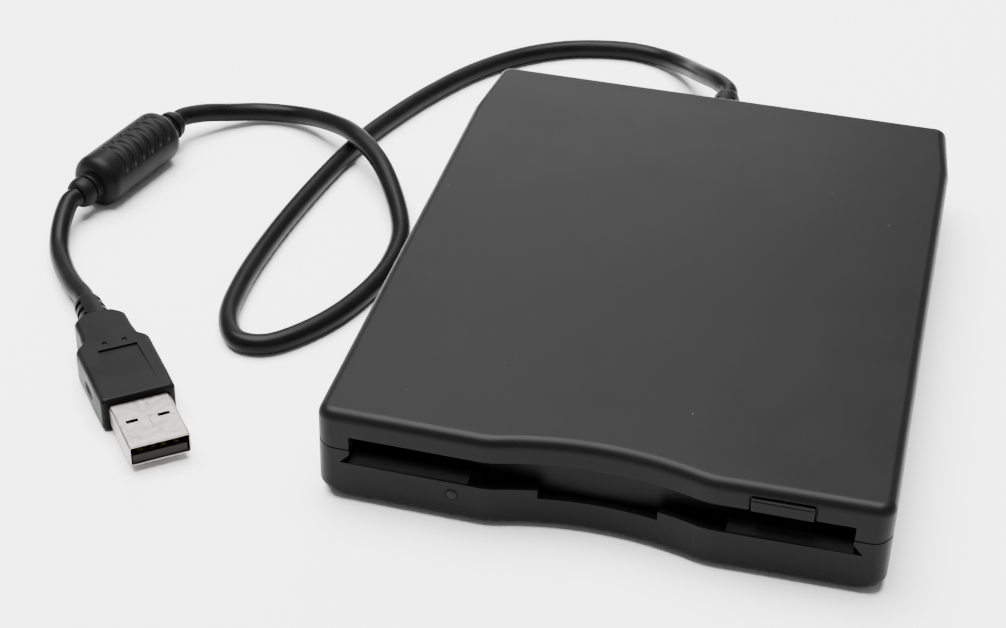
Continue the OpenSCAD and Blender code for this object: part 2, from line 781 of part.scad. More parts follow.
module eject_slide() {
    color([0.7, 0.71, 0.73]) union() {
        both_sides() {
            span([slide_out - slide_rail, slide_out], [slide_front, slide_back],
                 [slide_z, slide_z + sheet_t]);
            slide_flange();
            span([slide_in, slide_out], [spring_back + 0.4, spring_back + 0.4 + spring_stop_t],
                 [spring_z - spring_r - 0.2, flange_z + 0.1]);
        }
        span([-slide_out, slide_out], [slide_front, slide_front + slide_bridge],
             [slide_z, slide_z + sheet_t]);
        span([button_x - stem_w / 2, button_x + stem_w / 2], [stem_back, slide_front + 0.1],
             [slide_z, slide_z + sheet_t]);
    }
}

module eject_springs() {
    pitch = (spring_back - spring_front) / spring_turns;
    color([0.75, 0.75, 0.75]) both_sides()
        translate([spring_x, spring_front, spring_z]) rotate([0, 0, 90])
            coil_spring(spring_r, spring_wire, pitch, spring_turns);
}

module trigger_lever() {
    color([0.9, 0.88, 0.8])
        translate([lever_x, lever_y, 0]) rotate(lever_rest) difference() {
            union() {
                rod_z([0, 0], [lever_z, lever_z + 1.6], 6);
                span([0, lever_len], [-1.6, 1.6], [lever_z, lever_z + lever_t]);
                rod_z([lever_len, 0], [lever_z, lever_tip_top], lever_tip_d);
            }
            rod_z([0, 0], [lever_z - cut, lever_z + 2 + cut], lever_pin_d + 2 * 0.05);
        }
}

module lever_pivot() {
    color([0.6, 0.6, 0.62]) {
        rod_z([lever_x, lever_y], [chassis_top, lever_z - run], 4);
        rod_z([lever_x, lever_y], [chassis_z, chassis_top], 2);
        rod_z([lever_x, lever_y], [lever_z - run, lever_z + 1.7], lever_pin_d);
        rod_z([lever_x, lever_y], [lever_z + 1.7, lever_z + 2.2], 3.6);
    }
}

// ---------- spindle motor ----------

module spindle_rotor() {
    color([0.75, 0.76, 0.78]) translate([0, spindle_y, 0]) difference() {
        union() {
            rod_z([0, 0], [rotor_z, rotor_top], rotor_d);
            rod_z([0, 0], [rotor_top - 0.1, rotor_top + 0.2], 24);
        }
        rod_z([0, 0], [rotor_z - cut, rotor_top - rotor_plate], rotor_d - 2 * rotor_rim);
        rod_z([0, 0], [rotor_z, rotor_top + cut], shaft_d);
        rod_z([0, drive_pin_r], [rotor_z, rotor_top + cut], drive_pin_d);
        for (a = [0:60:300]) rotate(a + 30)
            rod_z([14.6, 0], [rotor_z, rotor_top + cut], 3);
    }
}

module rotor_magnet() {
    outer = rotor_d - 2 * rotor_rim;
    color([0.25, 0.22, 0.22]) translate([0, spindle_y, 0]) difference() {
        rod_z([0, 0], [rotor_z + 0.2, rotor_top - rotor_plate], outer);
        rod_z([0, 0], [rotor_z - cut, rotor_top], outer - 2 * magnet_t);
    }
}

module spindle_shaft() {
    color([0.85, 0.85, 0.87]) rod_z([0, spindle_y], [chassis_z + 0.1, shaft_top], shaft_d);
}

module drive_pin() {
    color([0.85, 0.85, 0.87])
        rod_z([0, spindle_y + drive_pin_r], [rotor_top - rotor_plate, rotor_top + 1.1], drive_pin_d);
}

module spindle_bearing() {
    color([0.72, 0.6, 0.3]) difference() {
        rod_z([0, spindle_y], [chassis_z, bearing_top], bearing_d);
        rod_z([0, spindle_y], [chassis_z - cut, bearing_top + cut], shaft_d + 2 * 0.02);
    }
}

module stator_coils() {
    spoke = 2.4;
    core_in = coil_in - 1;
    color([0.72, 0.45, 0.2]) translate([0, spindle_y, 0]) union() {
        difference() {
            rod_z([0, 0], [chassis_z, chassis_z + coil_h - 0.8], 2 * coil_in);
            rod_z([0, 0], [chassis_z - cut, chassis_z + coil_h], 2 * core_in);
        }
        for (k = [0:coil_count - 1]) rotate(360 * k / coil_count)
            span([coil_in - 0.4, coil_out], [-spoke / 2, spoke / 2], [chassis_z, chassis_z + coil_h]);
    }
}

module motor_board() {
    color([0.1, 0.35, 0.2]) union() {
        span([-motor_board_half, motor_board_half], [motor_board_front, motor_board_back],
             [board_z, chassis_z]);
        span([-led_x - led_tab_half, -led_x + led_tab_half],
             [front_y + 5, motor_board_front + 0.1], [board_z, chassis_z]);
    }
}

// ---------- head carriage ----------

module head_carriage() {
    color([0.16, 0.16, 0.17]) difference() {
        union() {
            span([rod_x - 3.4, 10], [carriage_front, carriage_back], [carriage_z, rail_z + 0.8]);
            span([rod_x - 3.4, rod_x + 3.4], [carriage_front, carriage_back + 3],
                 [carriage_z, carriage_top + 0.2]);
            span([-tail_half, tail_half], [carriage_back - 0.1, tail_back],
                 [carriage_z, tail_top]);
            both_sides()
                span([tail_half - ear_t, tail_half], [arm_y - 2, arm_y + 2],
                     [tail_top - 0.1, arm_hinge_z + 1.6]);
            rod_x([9.9, lead_x - screw_rod_d / 2 - run], head_y + 2, rail_z, 1.2);
            span([-4, 4], [head_y - 3.4, head_y + 3.4], [rail_z, carriage_top]);
        }
        rod_y(rod_x, [carriage_front - cut, carriage_back + 3 + cut], rail_z, rod_d + 2 * 0.05);
        rod_x([-tail_half - cut, tail_half + cut], arm_y, arm_hinge_z, arm_pin_d);
    }
}

module lower_head() {
    color([0.85, 0.85, 0.82])
        span([-2.4, 2.4], [head_y - 2, head_y + 2], [carriage_top, carriage_top + 1.3]);
}

module upper_arm() {
    color([0.2, 0.2, 0.21]) difference() {
        union() {
            span([-arm_half, arm_half], [head_y - 3.5, arm_y], [arm_plate_z, arm_plate_z + arm_t]);
            rod_x([-3.4, 3.4], arm_y, arm_hinge_z, 3);
            span([-2.4, 2.4], [head_y - 2.6, head_y + 2.6], [arm_plate_z - 0.4, arm_plate_z + 0.1]);
        }
        rod_x([-arm_half - cut, arm_half + cut], arm_y, arm_hinge_z, arm_pin_d + 2 * 0.03);
        span([-2.6, 2.6], [head_y + 6, arm_y - 5], [arm_plate_z - cut, arm_plate_z + arm_t + cut]);
        both_sides()
            span([3.4, arm_half + cut], [arm_y - 2.2, arm_y + cut],
                 [arm_plate_z - cut, arm_plate_z + arm_t + cut]);
    }
}

module upper_head() {
    color([0.85, 0.85, 0.82])
        span([-2.2, 2.2], [head_y - 2, head_y + 2], [arm_plate_z - 0.75, arm_plate_z - 0.4]);
}

module arm_pivot_pin() {
    color([0.8, 0.8, 0.82]) rod_x([-tail_half, tail_half], arm_y, arm_hinge_z, arm_pin_d);
}

module arm_spring() {
    color([0.75, 0.75, 0.75]) translate([3.75, arm_y, arm_hinge_z])
        coil_spring(arm_pin_d / 2 + 0.5, 0.3, 0.5, 3);
}

module guide_rod() {
    color([0.85, 0.85, 0.87]) rod_y(rod_x, [rod_front, rod_back], rail_z, rod_d);
}

module rod_clamps() {
    color([0.15, 0.15, 0.15])
        for (y = [rod_front, rod_back - clamp_t]) difference() {
            span([rod_x - 2.8, rod_x + 2.8], [y, y + clamp_t], [chassis_top, rail_z + 2]);
            rod_y(rod_x, [y - cut, y + clamp_t + cut], rail_z, rod_d);
        }
}

module lead_screw() {
    color([0.85, 0.85, 0.87]) difference() {
        rod_y(lead_x, [bracket_y + 0.3, stepper_y], rail_z, screw_rod_d);
        for (y = [bracket_y + 4:thread_lead:stepper_y - 3])
            translate([lead_x, y, rail_z]) rotate([-90, 0, 0]) difference() {
                cylinder(h = 0.6, d = screw_rod_d + cut, $fn = fine);
                translate([0, 0, -cut]) cylinder(h = 3 * cut, d = screw_rod_d - 0.4, $fn = fine);
            }
    }
}

module screw_bracket() {
    color([0.15, 0.15, 0.15]) difference() {
        span([lead_x - 2.8, lead_x + 2.8], [bracket_y, bracket_y + bracket_t],
             [chassis_top, rail_z + 2.2]);
        rod_y(lead_x, [bracket_y - cut, bracket_y + bracket_t + cut], rail_z,
              screw_rod_d + 2 * 0.03);
    }
}

module stepper_motor() {
    color([0.7, 0.7, 0.72]) union() {
        difference() {
            rod_y(lead_x, [stepper_y, stepper_y + stepper_len], rail_z, stepper_d);
            rod_y(lead_x, [stepper_y - cut, stepper_y + 0.3], rail_z, screw_rod_d + 1);
        }
        both_sides_of(lead_x)
            span([stepper_d / 2 - 0.6, stepper_d / 2 + 2.4], [stepper_y, stepper_y + 4],
                 [chassis_top, chassis_top + 0.8]);
    }
}

// The child at x, and its mirror image about x
module both_sides_of(x)
    translate([x, 0, 0]) both_sides() children();

// ---------- boards and sensors ----------

module main_board() {
    color([0.1, 0.35, 0.2]) difference() {
        span([-main_half, main_half], [main_front, main_back], [board_z, chassis_z]);
        span([lead_x - stepper_d / 2 - 1, main_half + cut], [stepper_y - 1, main_back + cut],
             [board_z - cut, chassis_z + cut]);
        rod_z([lever_x, lever_y], [board_z - cut, chassis_z + cut], 3);
    }
}

module controller_chips() {
    color([0.1, 0.1, 0.1]) {
        block(chip_left_x, chip_y, chip_left_w, chip_left_w, [chassis_z, chassis_z + chip_t]);
        block(chip_right_x, chip_y, chip_right_w, chip_right_w, [chassis_z, chassis_z + chip_t]);
        block(motor_driver_x, motor_driver_y, driver_w, driver_d - 1, [board_z - driver_t, board_z]);
        block(head_driver_x, head_driver_y, driver_d, driver_w, [board_z - driver_t, board_z]);
    }
}

module media_sensors() {
    color([0.1, 0.1, 0.1]) {
        both_sides() block(sensor_x, sensor_y, sensor_w, sensor_w, [chassis_top, sensor_top]);
        block(disk_sensor_x, disk_sensor_y, sensor_w, sensor_w, [chassis_top, sensor_top]);
    }
}

module track_sensor() {
    color([0.1, 0.1, 0.1]) difference() {
        block(track_sensor_x, track_sensor_y, track_sensor_w, sensor_w,
              [chassis_top, chassis_top + track_sensor_h]);
        block(track_sensor_x, track_sensor_y, track_sensor_slot, sensor_w + 2 * cut,
              [chassis_top + track_sensor_h / 3, chassis_top + track_sensor_h + cut]);
    }
}

module ribbon_connectors() {
    half = ribbon_w / 2 + 1;
    color([0.9, 0.88, 0.8]) {
        span([ribbon_x - half, ribbon_x + half], [main_back - 1.5 - connector_d, main_back - 1.5],
             [chassis_z, chassis_z + connector_h]);
        span([ribbon_x - half, ribbon_x + half], [iface_front + 0.6, iface_front + 0.6 + connector_d],
             [iface_z + iface_t, iface_z + iface_t + connector_h]);
    }
}

module board_ribbon() {
    y0 = main_back - 1.5;
    y1 = iface_front + 0.6;
    z0 = chassis_z + 0.7;
    z1 = iface_z + iface_t + 0.7;
    t = 0.3;
    bend = 1;
    color([0.85, 0.85, 0.8]) translate([ribbon_x - ribbon_w / 2, 0, 0]) rotate([90, 0, 90])
        linear_extrude(ribbon_w)
            polygon([[y0, z0], [y0 + bend, z0], [y1 - bend, z1], [y1, z1], [y1, z1 + t],
                     [y1 - bend, z1 + t], [y0 + bend, z0 + t], [y0, z0 + t]]);
}

module interface_board() {
    color([0.1, 0.35, 0.2]) difference() {
        span([-iface_half, iface_half], [iface_front, iface_back], [iface_z, iface_z + iface_t]);
        both_sides() rod_z([iface_screw_x, iface_mid_y], [iface_z - cut, iface_z + iface_t + cut], 2);
    }
}

module board_screws() {
    color([0.55, 0.55, 0.58]) both_sides() {
        rod_z([iface_screw_x, iface_mid_y], [iface_z + iface_t, iface_z + iface_t + 1], 3.4);
        rod_z([iface_screw_x, iface_mid_y], [floor_top + 0.2, iface_z + iface_t], 1.6);
    }
}

module interface_chips() {
    top = iface_z + iface_t;
    color([0.12, 0.12, 0.12]) {
        block(bridge_x, iface_mid_y, bridge_w, bridge_w, [top, top + chip_t]);
        block(crystal_x, iface_mid_y, driver_w, driver_d, [top, top + chip_t + 0.2]);
        block(-bridge_x + 1.5, iface_mid_y - 1, driver_d, driver_d, [top, top + chip_t + 0.4]);
    }
}

module wire_header() {
    top = iface_z + iface_t;
    color([0.92, 0.9, 0.85])
        span([-5, 5], [iface_mid_y - 4, iface_mid_y], [top, top + 3.4]);
}

module cable_wires() {
    start_y = rear_y - wall - 1.4;
    header_y = iface_mid_y;
    header_z = iface_z + iface_t + 1.7;
    wire = 1;
    color([0.7, 0.2, 0.2]) for (k = [-1.5:1:1.5]) {
        path = smooth([[k * 1.2, start_y, relief_z], [k * 1.2, start_y - 1.2, relief_z],
                       [k * 1.8, (start_y + header_y) / 2, (relief_z + header_z) / 2],
                       [k * 2.2, header_y + 1, header_z], [k * 2.2, header_y, header_z]], 2);
        skin_solid(tube_rings(path, wire / 2, 6, [0, -1, 0], [0, -1, 0]));
    }
}

// ---------- lead ----------

module strain_relief() {
    grooves = 3;
    body_from = rear_y + gap;
    inner = rear_y - wall - 0.2;
    color([0.1, 0.1, 0.1]) difference() {
        translate([0, 0, relief_z]) rotate([-90, 0, 0]) rotate_extrude($fn = fine)
            polygon([[0, inner - 1.2], [relief_flange_d / 2, inner - 1.2],
                     [relief_flange_d / 2, inner], [relief_neck_d / 2, inner],
                     [relief_neck_d / 2, body_from], [relief_flange_d / 2 - 0.3, body_from],
                     [relief_flange_d / 2 - 0.6, body_from + 1.4],
                     [relief_tip_d / 2 - 0.2, body_from + 2.4], [relief_tip_d / 2, relief_end - 1],
                     [relief_tip_d / 2 - 0.5, relief_end], [0, relief_end]]);
        for (k = [0:grooves - 1]) translate([0, body_from + 3.4 + 2.2 * k, relief_z])
            both_sides() span([1.7, relief_tip_d], [0, 1], [-relief_tip_d, relief_tip_d]);
    }
}

module cable() {
    color([0.13, 0.13, 0.13])
        skin_solid(tube_rings(smooth(cable_route, cable_steps), cable_d / 2, cable_sides,
                              [0, 1, 0], flat(-bead_dir)));
}

module cable_tail() {
    color([0.13, 0.13, 0.13])
        skin_solid(tube_rings(smooth(tail_route, tail_steps), cable_d / 2, cable_sides,
                              flat(-bead_dir), flat(plug_dir)));
}

// Barrel with shallow ribs, rounded ends and a ringed neck at each end
module ferrite_bead() {
    r = bead_d / 2;
    half = bead_len / 2;
    neck = bead_neck_d / 2;
    end_r = 2.6;
    rib_pitch = 3.2;
    rib_half = 2.5 * rib_pitch;
    ribs = [for (k = [0:5]) for (e = [[-0.6, 0], [-0.35, 0.45], [0.35, 0.45], [0.6, 0]])
            [r - e[1], -rib_half + k * rib_pitch + e[0]]];
    low = [for (a = [0:30:90]) [r - end_r * (1 - sin(a)), -half + end_r * (1 - cos(a))]];
    high = [for (a = [90:-30:0]) [r - end_r * (1 - sin(a)), half - end_r * (1 - cos(a))]];
    middle = (bead_low + bead_high) / 2;
    color([0.12, 0.12, 0.12]) translate([middle[0], middle[1], r])
        rotate(atan2(bead_dir[1], bead_dir[0]) - 90)
        rotate([-90, 0, 0]) rotate_extrude($fn = fine)
            polygon(concat([[0, -half - bead_neck_len], [neck - 0.5, -half - bead_neck_len],
                            [neck, -half - bead_neck_len + 0.8], [neck, -half - 1.2],
                            [neck - 0.6, -half - 0.8], [neck - 0.6, -half]],
                           low, ribs, high,
                           [[neck - 0.6, half], [neck - 0.6, half + 0.8], [neck, half + 1.2],
                            [neck, half + bead_neck_len - 0.8],
                            [neck - 0.5, half + bead_neck_len], [0, half + bead_neck_len]]));
}

// Puts its child, drawn along +X with its front at 0, where the plug lies
module at_plug()
    translate([plug_tip[0], plug_tip[1], 0]) rotate(atan2(plug_dir[1], plug_dir[0])) children();

// Half of the grip's outline, from the front to the back
function grip_side() =
    [[-shell_len, grip_w / 2 - 0.5], [-shell_len - 0.6, grip_w / 2],
     [-shell_len - grip_len + 3, grip_w / 2], [-shell_len - grip_len + 0.8, grip_w / 2 - 0.9],
     [-shell_len - grip_len, grip_neck_w / 2 + 0.5],
     [-shell_len - grip_len - 0.6, grip_neck_w / 2],
     [-shell_len - grip_len - grip_neck_len + 2, grip_neck_w / 2],
     [-shell_len - grip_len - grip_neck_len, plug_relief_d / 2]];

module plug_body() {
    back = shell_len + grip_len + grip_neck_len;
    pts = grip_side();
    flip = [for (k = [len(pts) - 1:-1:0]) [pts[k][0], -pts[k][1]]];
    color([0.14, 0.14, 0.14]) at_plug() difference() {
        union() {
            linear_extrude(grip_h) polygon(concat(pts, flip));
            translate([-back - plug_relief_len, 0, grip_h / 2]) rotate([0, 90, 0])
                cylinder(h = plug_relief_len + 0.1, d1 = plug_relief_d - 0.8, d2 = plug_relief_d, $fn = fine);
        }
        translate([-shell_len - 2, 0, shell_z - run])
            span([0, 3], [-shell_w / 2 - run, shell_w / 2 + run], [0, shell_h + 2 * run]);
        for (x = [0:2]) translate([-back - 2.4 - 2.6 * x, 0, 0]) for (s = [-1, 1])
            translate([0, s * 4, grip_h / 2]) cube([1.1, 4, 2 * plug_relief_d], center = true);
        for (s = [-1, 1]) translate([-shell_len - 7 - 2.2, s * (grip_w / 2 + 1.5), -cut])
            span([-5, 5], [-2.1, 2.1], [cut + 1.6, cut + grip_h - 1.6]);
    }
}

module plug_shell() {
    color([0.86, 0.84, 0.82]) at_plug() translate([0, 0, shell_z]) difference() {
        span([-shell_len - 2, 0], [-shell_w / 2, shell_w / 2], [0, shell_h]);
        span([-shell_len - 2 - cut, cut], [-shell_w / 2 + shell_t, shell_w / 2 - shell_t],
             [shell_t, shell_h - shell_t]);
        for (s = [-1, 1], z = [0, shell_h])
            translate([-7.7, s * 3.1, z]) cube([1.4, 2.4, 2], center = true);
    }
}

// Tongue that carries the contacts, in the lower half of the shell, and the block behind it
module plug_insulator() {
    inside = shell_w - 2 * shell_t - 0.2;
    color([0.12, 0.12, 0.12]) at_plug() translate([0, 0, shell_z]) union() {
        span([-shell_len + 0.6, -0.4], [-inside / 2 + 0.3, inside / 2 - 0.3],
             [shell_t + 0.1, shell_t + 1.9]);
        span([-shell_len - 2, -shell_len + 0.7], [-inside / 2, inside / 2],
             [shell_t + 0.1, shell_h - shell_t - 0.1]);
    }
}

module plug_contacts() {
    pitch_in = 2;
    pitch_out = 2.5;
    color([0.85, 0.7, 0.3]) at_plug() translate([0, 0, shell_z + shell_t + 1.9])
        for (y = [-pitch_in / 2 - pitch_out, -pitch_in / 2, pitch_in / 2, pitch_in / 2 + pitch_out])
            span([-shell_len + 0.7, -1.4], [y - 0.5, y + 0.5], [0, 0.25]);
}

top_cover();
bottom_case();
rubber_feet();
case_screws();
eject_button();
dust_door();
door_spring();
activity_led();
chassis();
chassis_screws();
disk_holder();
holder_pins();
eject_slide();
eject_springs();
trigger_lever();
lever_pivot();
spindle_rotor();
rotor_magnet();
spindle_shaft();
drive_pin();
spindle_bearing();
stator_coils();
motor_board();
head_carriage();
lower_head();
upper_arm();
upper_head();
arm_pivot_pin();
arm_spring();
guide_rod();
rod_clamps();
lead_screw();
screw_bracket();
stepper_motor();
main_board();
controller_chips();
media_sensors();
track_sensor();
ribbon_connectors();
board_ribbon();
interface_board();
board_screws();
interface_chips();
wire_header();
cable_wires();
strain_relief();
cable();
ferrite_bead();
cable_tail();
plug_body();
plug_shell();
plug_insulator();
plug_contacts();
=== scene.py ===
"""External floppy disk drive with its captive USB lead.

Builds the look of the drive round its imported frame: case, slot, button, lead, bead and plug
get detailed pieces, and every other solid gets a finish of its own. Sizes are in millimetres
in the tables below and in metres in the scene.
"""

import json
import math

import bmesh
import bpy
from mathutils import Matrix, Vector

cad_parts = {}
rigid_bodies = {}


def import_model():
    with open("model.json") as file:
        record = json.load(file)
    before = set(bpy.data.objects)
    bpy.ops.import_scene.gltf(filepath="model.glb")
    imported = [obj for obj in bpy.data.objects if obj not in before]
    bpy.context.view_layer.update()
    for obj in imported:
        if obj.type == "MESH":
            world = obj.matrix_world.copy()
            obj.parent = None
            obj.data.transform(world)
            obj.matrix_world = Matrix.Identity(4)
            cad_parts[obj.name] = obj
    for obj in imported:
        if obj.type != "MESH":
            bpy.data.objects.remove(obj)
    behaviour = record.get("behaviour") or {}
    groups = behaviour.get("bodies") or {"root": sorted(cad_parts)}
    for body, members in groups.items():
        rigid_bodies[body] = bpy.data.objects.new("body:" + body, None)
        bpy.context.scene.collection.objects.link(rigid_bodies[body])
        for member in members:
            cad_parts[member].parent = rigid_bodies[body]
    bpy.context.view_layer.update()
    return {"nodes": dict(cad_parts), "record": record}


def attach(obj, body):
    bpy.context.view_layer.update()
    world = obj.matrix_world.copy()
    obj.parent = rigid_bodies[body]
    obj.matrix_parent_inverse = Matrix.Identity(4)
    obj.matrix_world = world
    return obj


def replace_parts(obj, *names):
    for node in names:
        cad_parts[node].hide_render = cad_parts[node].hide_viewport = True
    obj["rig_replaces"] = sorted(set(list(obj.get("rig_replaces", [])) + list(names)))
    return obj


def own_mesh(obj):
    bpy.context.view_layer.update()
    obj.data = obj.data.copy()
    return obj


bl_info = {
    "name": "Floppy Drive",
    "version": (1, 0, 0),
    "blender": (4, 5, 0),
    "location": "View3D > Sidebar > Floppy Drive",
    "description": "Dresses the external floppy disk drive and sets its studio",
    "category": "Object",
}

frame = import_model()

# ---------- sizes of the case, as the frame has them, in millimetres ----------

BODY_W, BODY_H = 105.0, 20.1
FRONT_Y, REAR_Y = -66.95, 67.55
SPLIT_Z, WALL, FLOOR_Z = 12.0, 1.6, 1.0
SEAM_GAP = 0.16
FLOOR_TOP, ROOF_Z = 2.6, 18.5
TOP_EDGE, LOW_EDGE = 2.1, 1.0
FRONT_CORNER, REAR_CORNER = 3.2, 2.6
TAPER_LEN, TAPER_IN, FRONT_SWEEP = 19.0, 2.0, 0.4
RECESS_HALF, RECESS_DEPTH = 19.6, 3.2
SLOT_HALF, SLOT_TOP = 46.0, 15.0
SLOT_BACK = FRONT_Y + RECESS_DEPTH + WALL + 0.1
SILL_Z, TONGUE_HALF, TONGUE_Z = 9.0, 11.0, 7.1
BUTTON_X, BUTTON_Z, BUTTON_GAP = (27.5, 38.7), (15.2, 17.9), 0.3
HINGE_Y, HINGE_Z = -61.25, 15.9
HINGE = Matrix.Translation((0, HINGE_Y, HINGE_Z))
POST_X, POST_Y = (46.3, 51.4), (-63.95, -58.55)
BOARD_POST, CHASSIS_POST_X, CHASSIS_POST_Y = (33.0, 58.025), 43.5, (-52.25, 46.0)
REAR_SCREW = (45.5, 58.25)
SCREWS, SCREW_TOP = ((49.0, HINGE_Y), REAR_SCREW), 14.8
FOOT_X, FOOT_Y = 40.0, 54.25
LAMP_X, LAMP_Z = -26.5, 6.3
RELIEF_Z, RELIEF_END = 12.0, 80.0
# the parting line near the front: where its rise begins and where it has gone, behind the front
SEAM_BAND, SEAM_FADE = 3.4, 16.0
# its course beside the slot: distances from the middle and heights, up to the corner
SEAM_COURSE = ((45, 0.3), (47.2, 0.05), (48.6, -0.1), (50.2, 0.2))
# the lower front corners: how much rounder they are at the floor, and up to what height
CHIN_MORE, CHIN_HEIGHT = 3.4, 2.4
# radii
REAR_POST, THREAD_BORE, SHANK_BORE, HEAD_WELL = 2.8, 0.95, 1.1, 1.9
FOOT_WELL, LAMP_BORE, RELIEF_BORE = 4.1, 1.2, 3.1

# ---------- route of the lead's centre line ----------

def route(*points):
    """A route's points in metres, from millimetres"""
    return [tuple(c / 1000 for c in p) for p in points]


LEAD_ROUTE = route(
    (0, 80, 12), (-0.4, 84, 12), (-3.9, 89.6, 11), (-8.8, 97.1, 8.2), (-13.8, 105.8, 4.8),
    (-20, 112.1, 2.8), (-28.5, 114.6, 2.25), (-38.2, 113.4, 2.15), (-47.3, 109.8, 2.15),
    (-56.2, 103.1, 2.15), (-64.5, 92.9, 2.15), (-71.2, 80.7, 2.15), (-76.5, 68.2, 2.15),
    (-81.1, 54.2, 2.15), (-84.4, 37.1, 2.15), (-86.7, 19.9, 2.15), (-87.9, 4.7, 2.15),
    (-88, -8.9, 2.15), (-86.6, -19.9, 2.15), (-82.5, -27, 2.15), (-76.3, -27.2, 2.15),
    (-70.5, -21.7, 2.15), (-65.3, -13.1, 2.15), (-61.6, -2.4, 2.15), (-60.2, 8, 2.2),
    (-61.2, 19, 2.6), (-65.7, 29.8, 4.2), (-72.6, 40.5, 6.3), (-81.1, 48.9, 7.1),
    (-89.5, 55.1, 5.5), (-98, 59.6, 3.2), (-106.6, 59.6, 2.7), (-113, 55.9, 3.6),
    (-118.2, 51.2, 5.2), (-121.85, 46.89, 6), (-122.55, 44.18, 6),
)
TAIL_ROUTE = route(
    (-131.82, 8.09, 6), (-132.52, 5.38, 5.8), (-131.5, -1.2, 4.4), (-129.2, -7.8, 2.9),
    (-125.4, -14, 2.7), (-121, -19.6, 3.3), (-117, -23.55, 3.8), (-115.09, -25.92, 3.8),
)

# ---------- ends of the bead and the plug on the surface, in millimetres ----------

BEAD_LOW, BEAD_HIGH = (-131.82, 8.09), (-122.55, 44.18)
PLUG_TIP, PLUG_END = (-83.13, -66.31), (-115.09, -25.92)


# ---------- what a user may change ----------

class CaseLook(bpy.types.PropertyGroup):
    """Finish and edges of the case"""

    plastic: bpy.props.FloatVectorProperty(
        name="Plastic", description="Colour of the case's moulded plastic",
        subtype="COLOR", size=3, min=0, max=1, default=(0.0036, 0.0036, 0.0036))
    gloss: bpy.props.FloatProperty(
        name="Gloss", description="Strength of the plastic's mirror-like share of light",
        default=0.066, min=0, max=1)
    grain: bpy.props.FloatProperty(
        name="Grain", description="Width of one grain of the moulded texture",
        default=0.00032, min=0.0001, max=0.002, unit="LENGTH")
    edge: bpy.props.FloatProperty(
        name="Edge", description="Rounding of the case's small edges",
        default=0.00025, min=0.00005, max=0.0006, unit="LENGTH")
    seam: bpy.props.FloatProperty(
        name="Seam", description="How far the parting line rises at the front corners",
        default=0.0008, min=0, max=0.0012, unit="LENGTH")


class LeadLook(bpy.types.PropertyGroup):
    """Sizes and finish of the lead"""

    diameter: bpy.props.FloatProperty(
        name="Diameter", description="Diameter of the lead",
        default=0.0043, min=0.0034, max=0.0048, unit="LENGTH")
    sheath: bpy.props.FloatVectorProperty(
        name="Sheath", description="Colour of the lead's sheath",
        subtype="COLOR", size=3, min=0, max=1, default=(0.003, 0.003, 0.003))
    gloss: bpy.props.FloatProperty(
        name="Gloss", description="Strength of the sheath's mirror-like share of light",
        default=0.055, min=0, max=1)
    moulding: bpy.props.FloatVectorProperty(
        name="Moulding", description="Colour of the bead's sleeve and of the plug's grip",
        subtype="COLOR", size=3, min=0, max=1, default=(0.0035, 0.0035, 0.0035))
    metal: bpy.props.FloatVectorProperty(
        name="Metal", description="Colour of the plug's metal shell",
        subtype="COLOR", size=3, min=0, max=1, default=(0.3, 0.287, 0.265))


class StudioLook(bpy.types.PropertyGroup):
    """Light and lens"""

    lens: bpy.props.FloatProperty(
        name="Lens", description="Focal length on a 36 mm wide sensor, in millimetres",
        default=76.36, min=20, max=200)
    key: bpy.props.FloatProperty(
        name="Key", description="Power of the large light overhead",
        subtype="POWER", default=185.0, min=0, max=1000)
    back: bpy.props.FloatProperty(
        name="Back", description="Power of the low light behind, on the left",
        subtype="POWER", default=7.0, min=0, max=1000)
    world: bpy.props.FloatProperty(
        name="World", description="Strength of the even light all round",
        default=0.35, min=0, max=10)
    floor: bpy.props.FloatProperty(
        name="Floor", description="Lightness of the plain floor",
        default=0.93, min=0, max=1)


# ---------- shader maths ----------

class Signal:
    """A socket of a material; Python's operators on it add Math nodes"""

    def __init__(self, finish, socket):
        self.finish, self.socket = finish, socket

    def math(self, operation, *values):
        return self.finish.node("ShaderNodeMath", {"operation": operation}, *values)

    def __add__(self, other):
        return self.math("ADD", self, other)

    def __mul__(self, other):
        return self.math("MULTIPLY", self, other)

    def __lt__(self, other):
        return self.math("LESS_THAN", self, other)

    __radd__, __rmul__ = __add__, __mul__


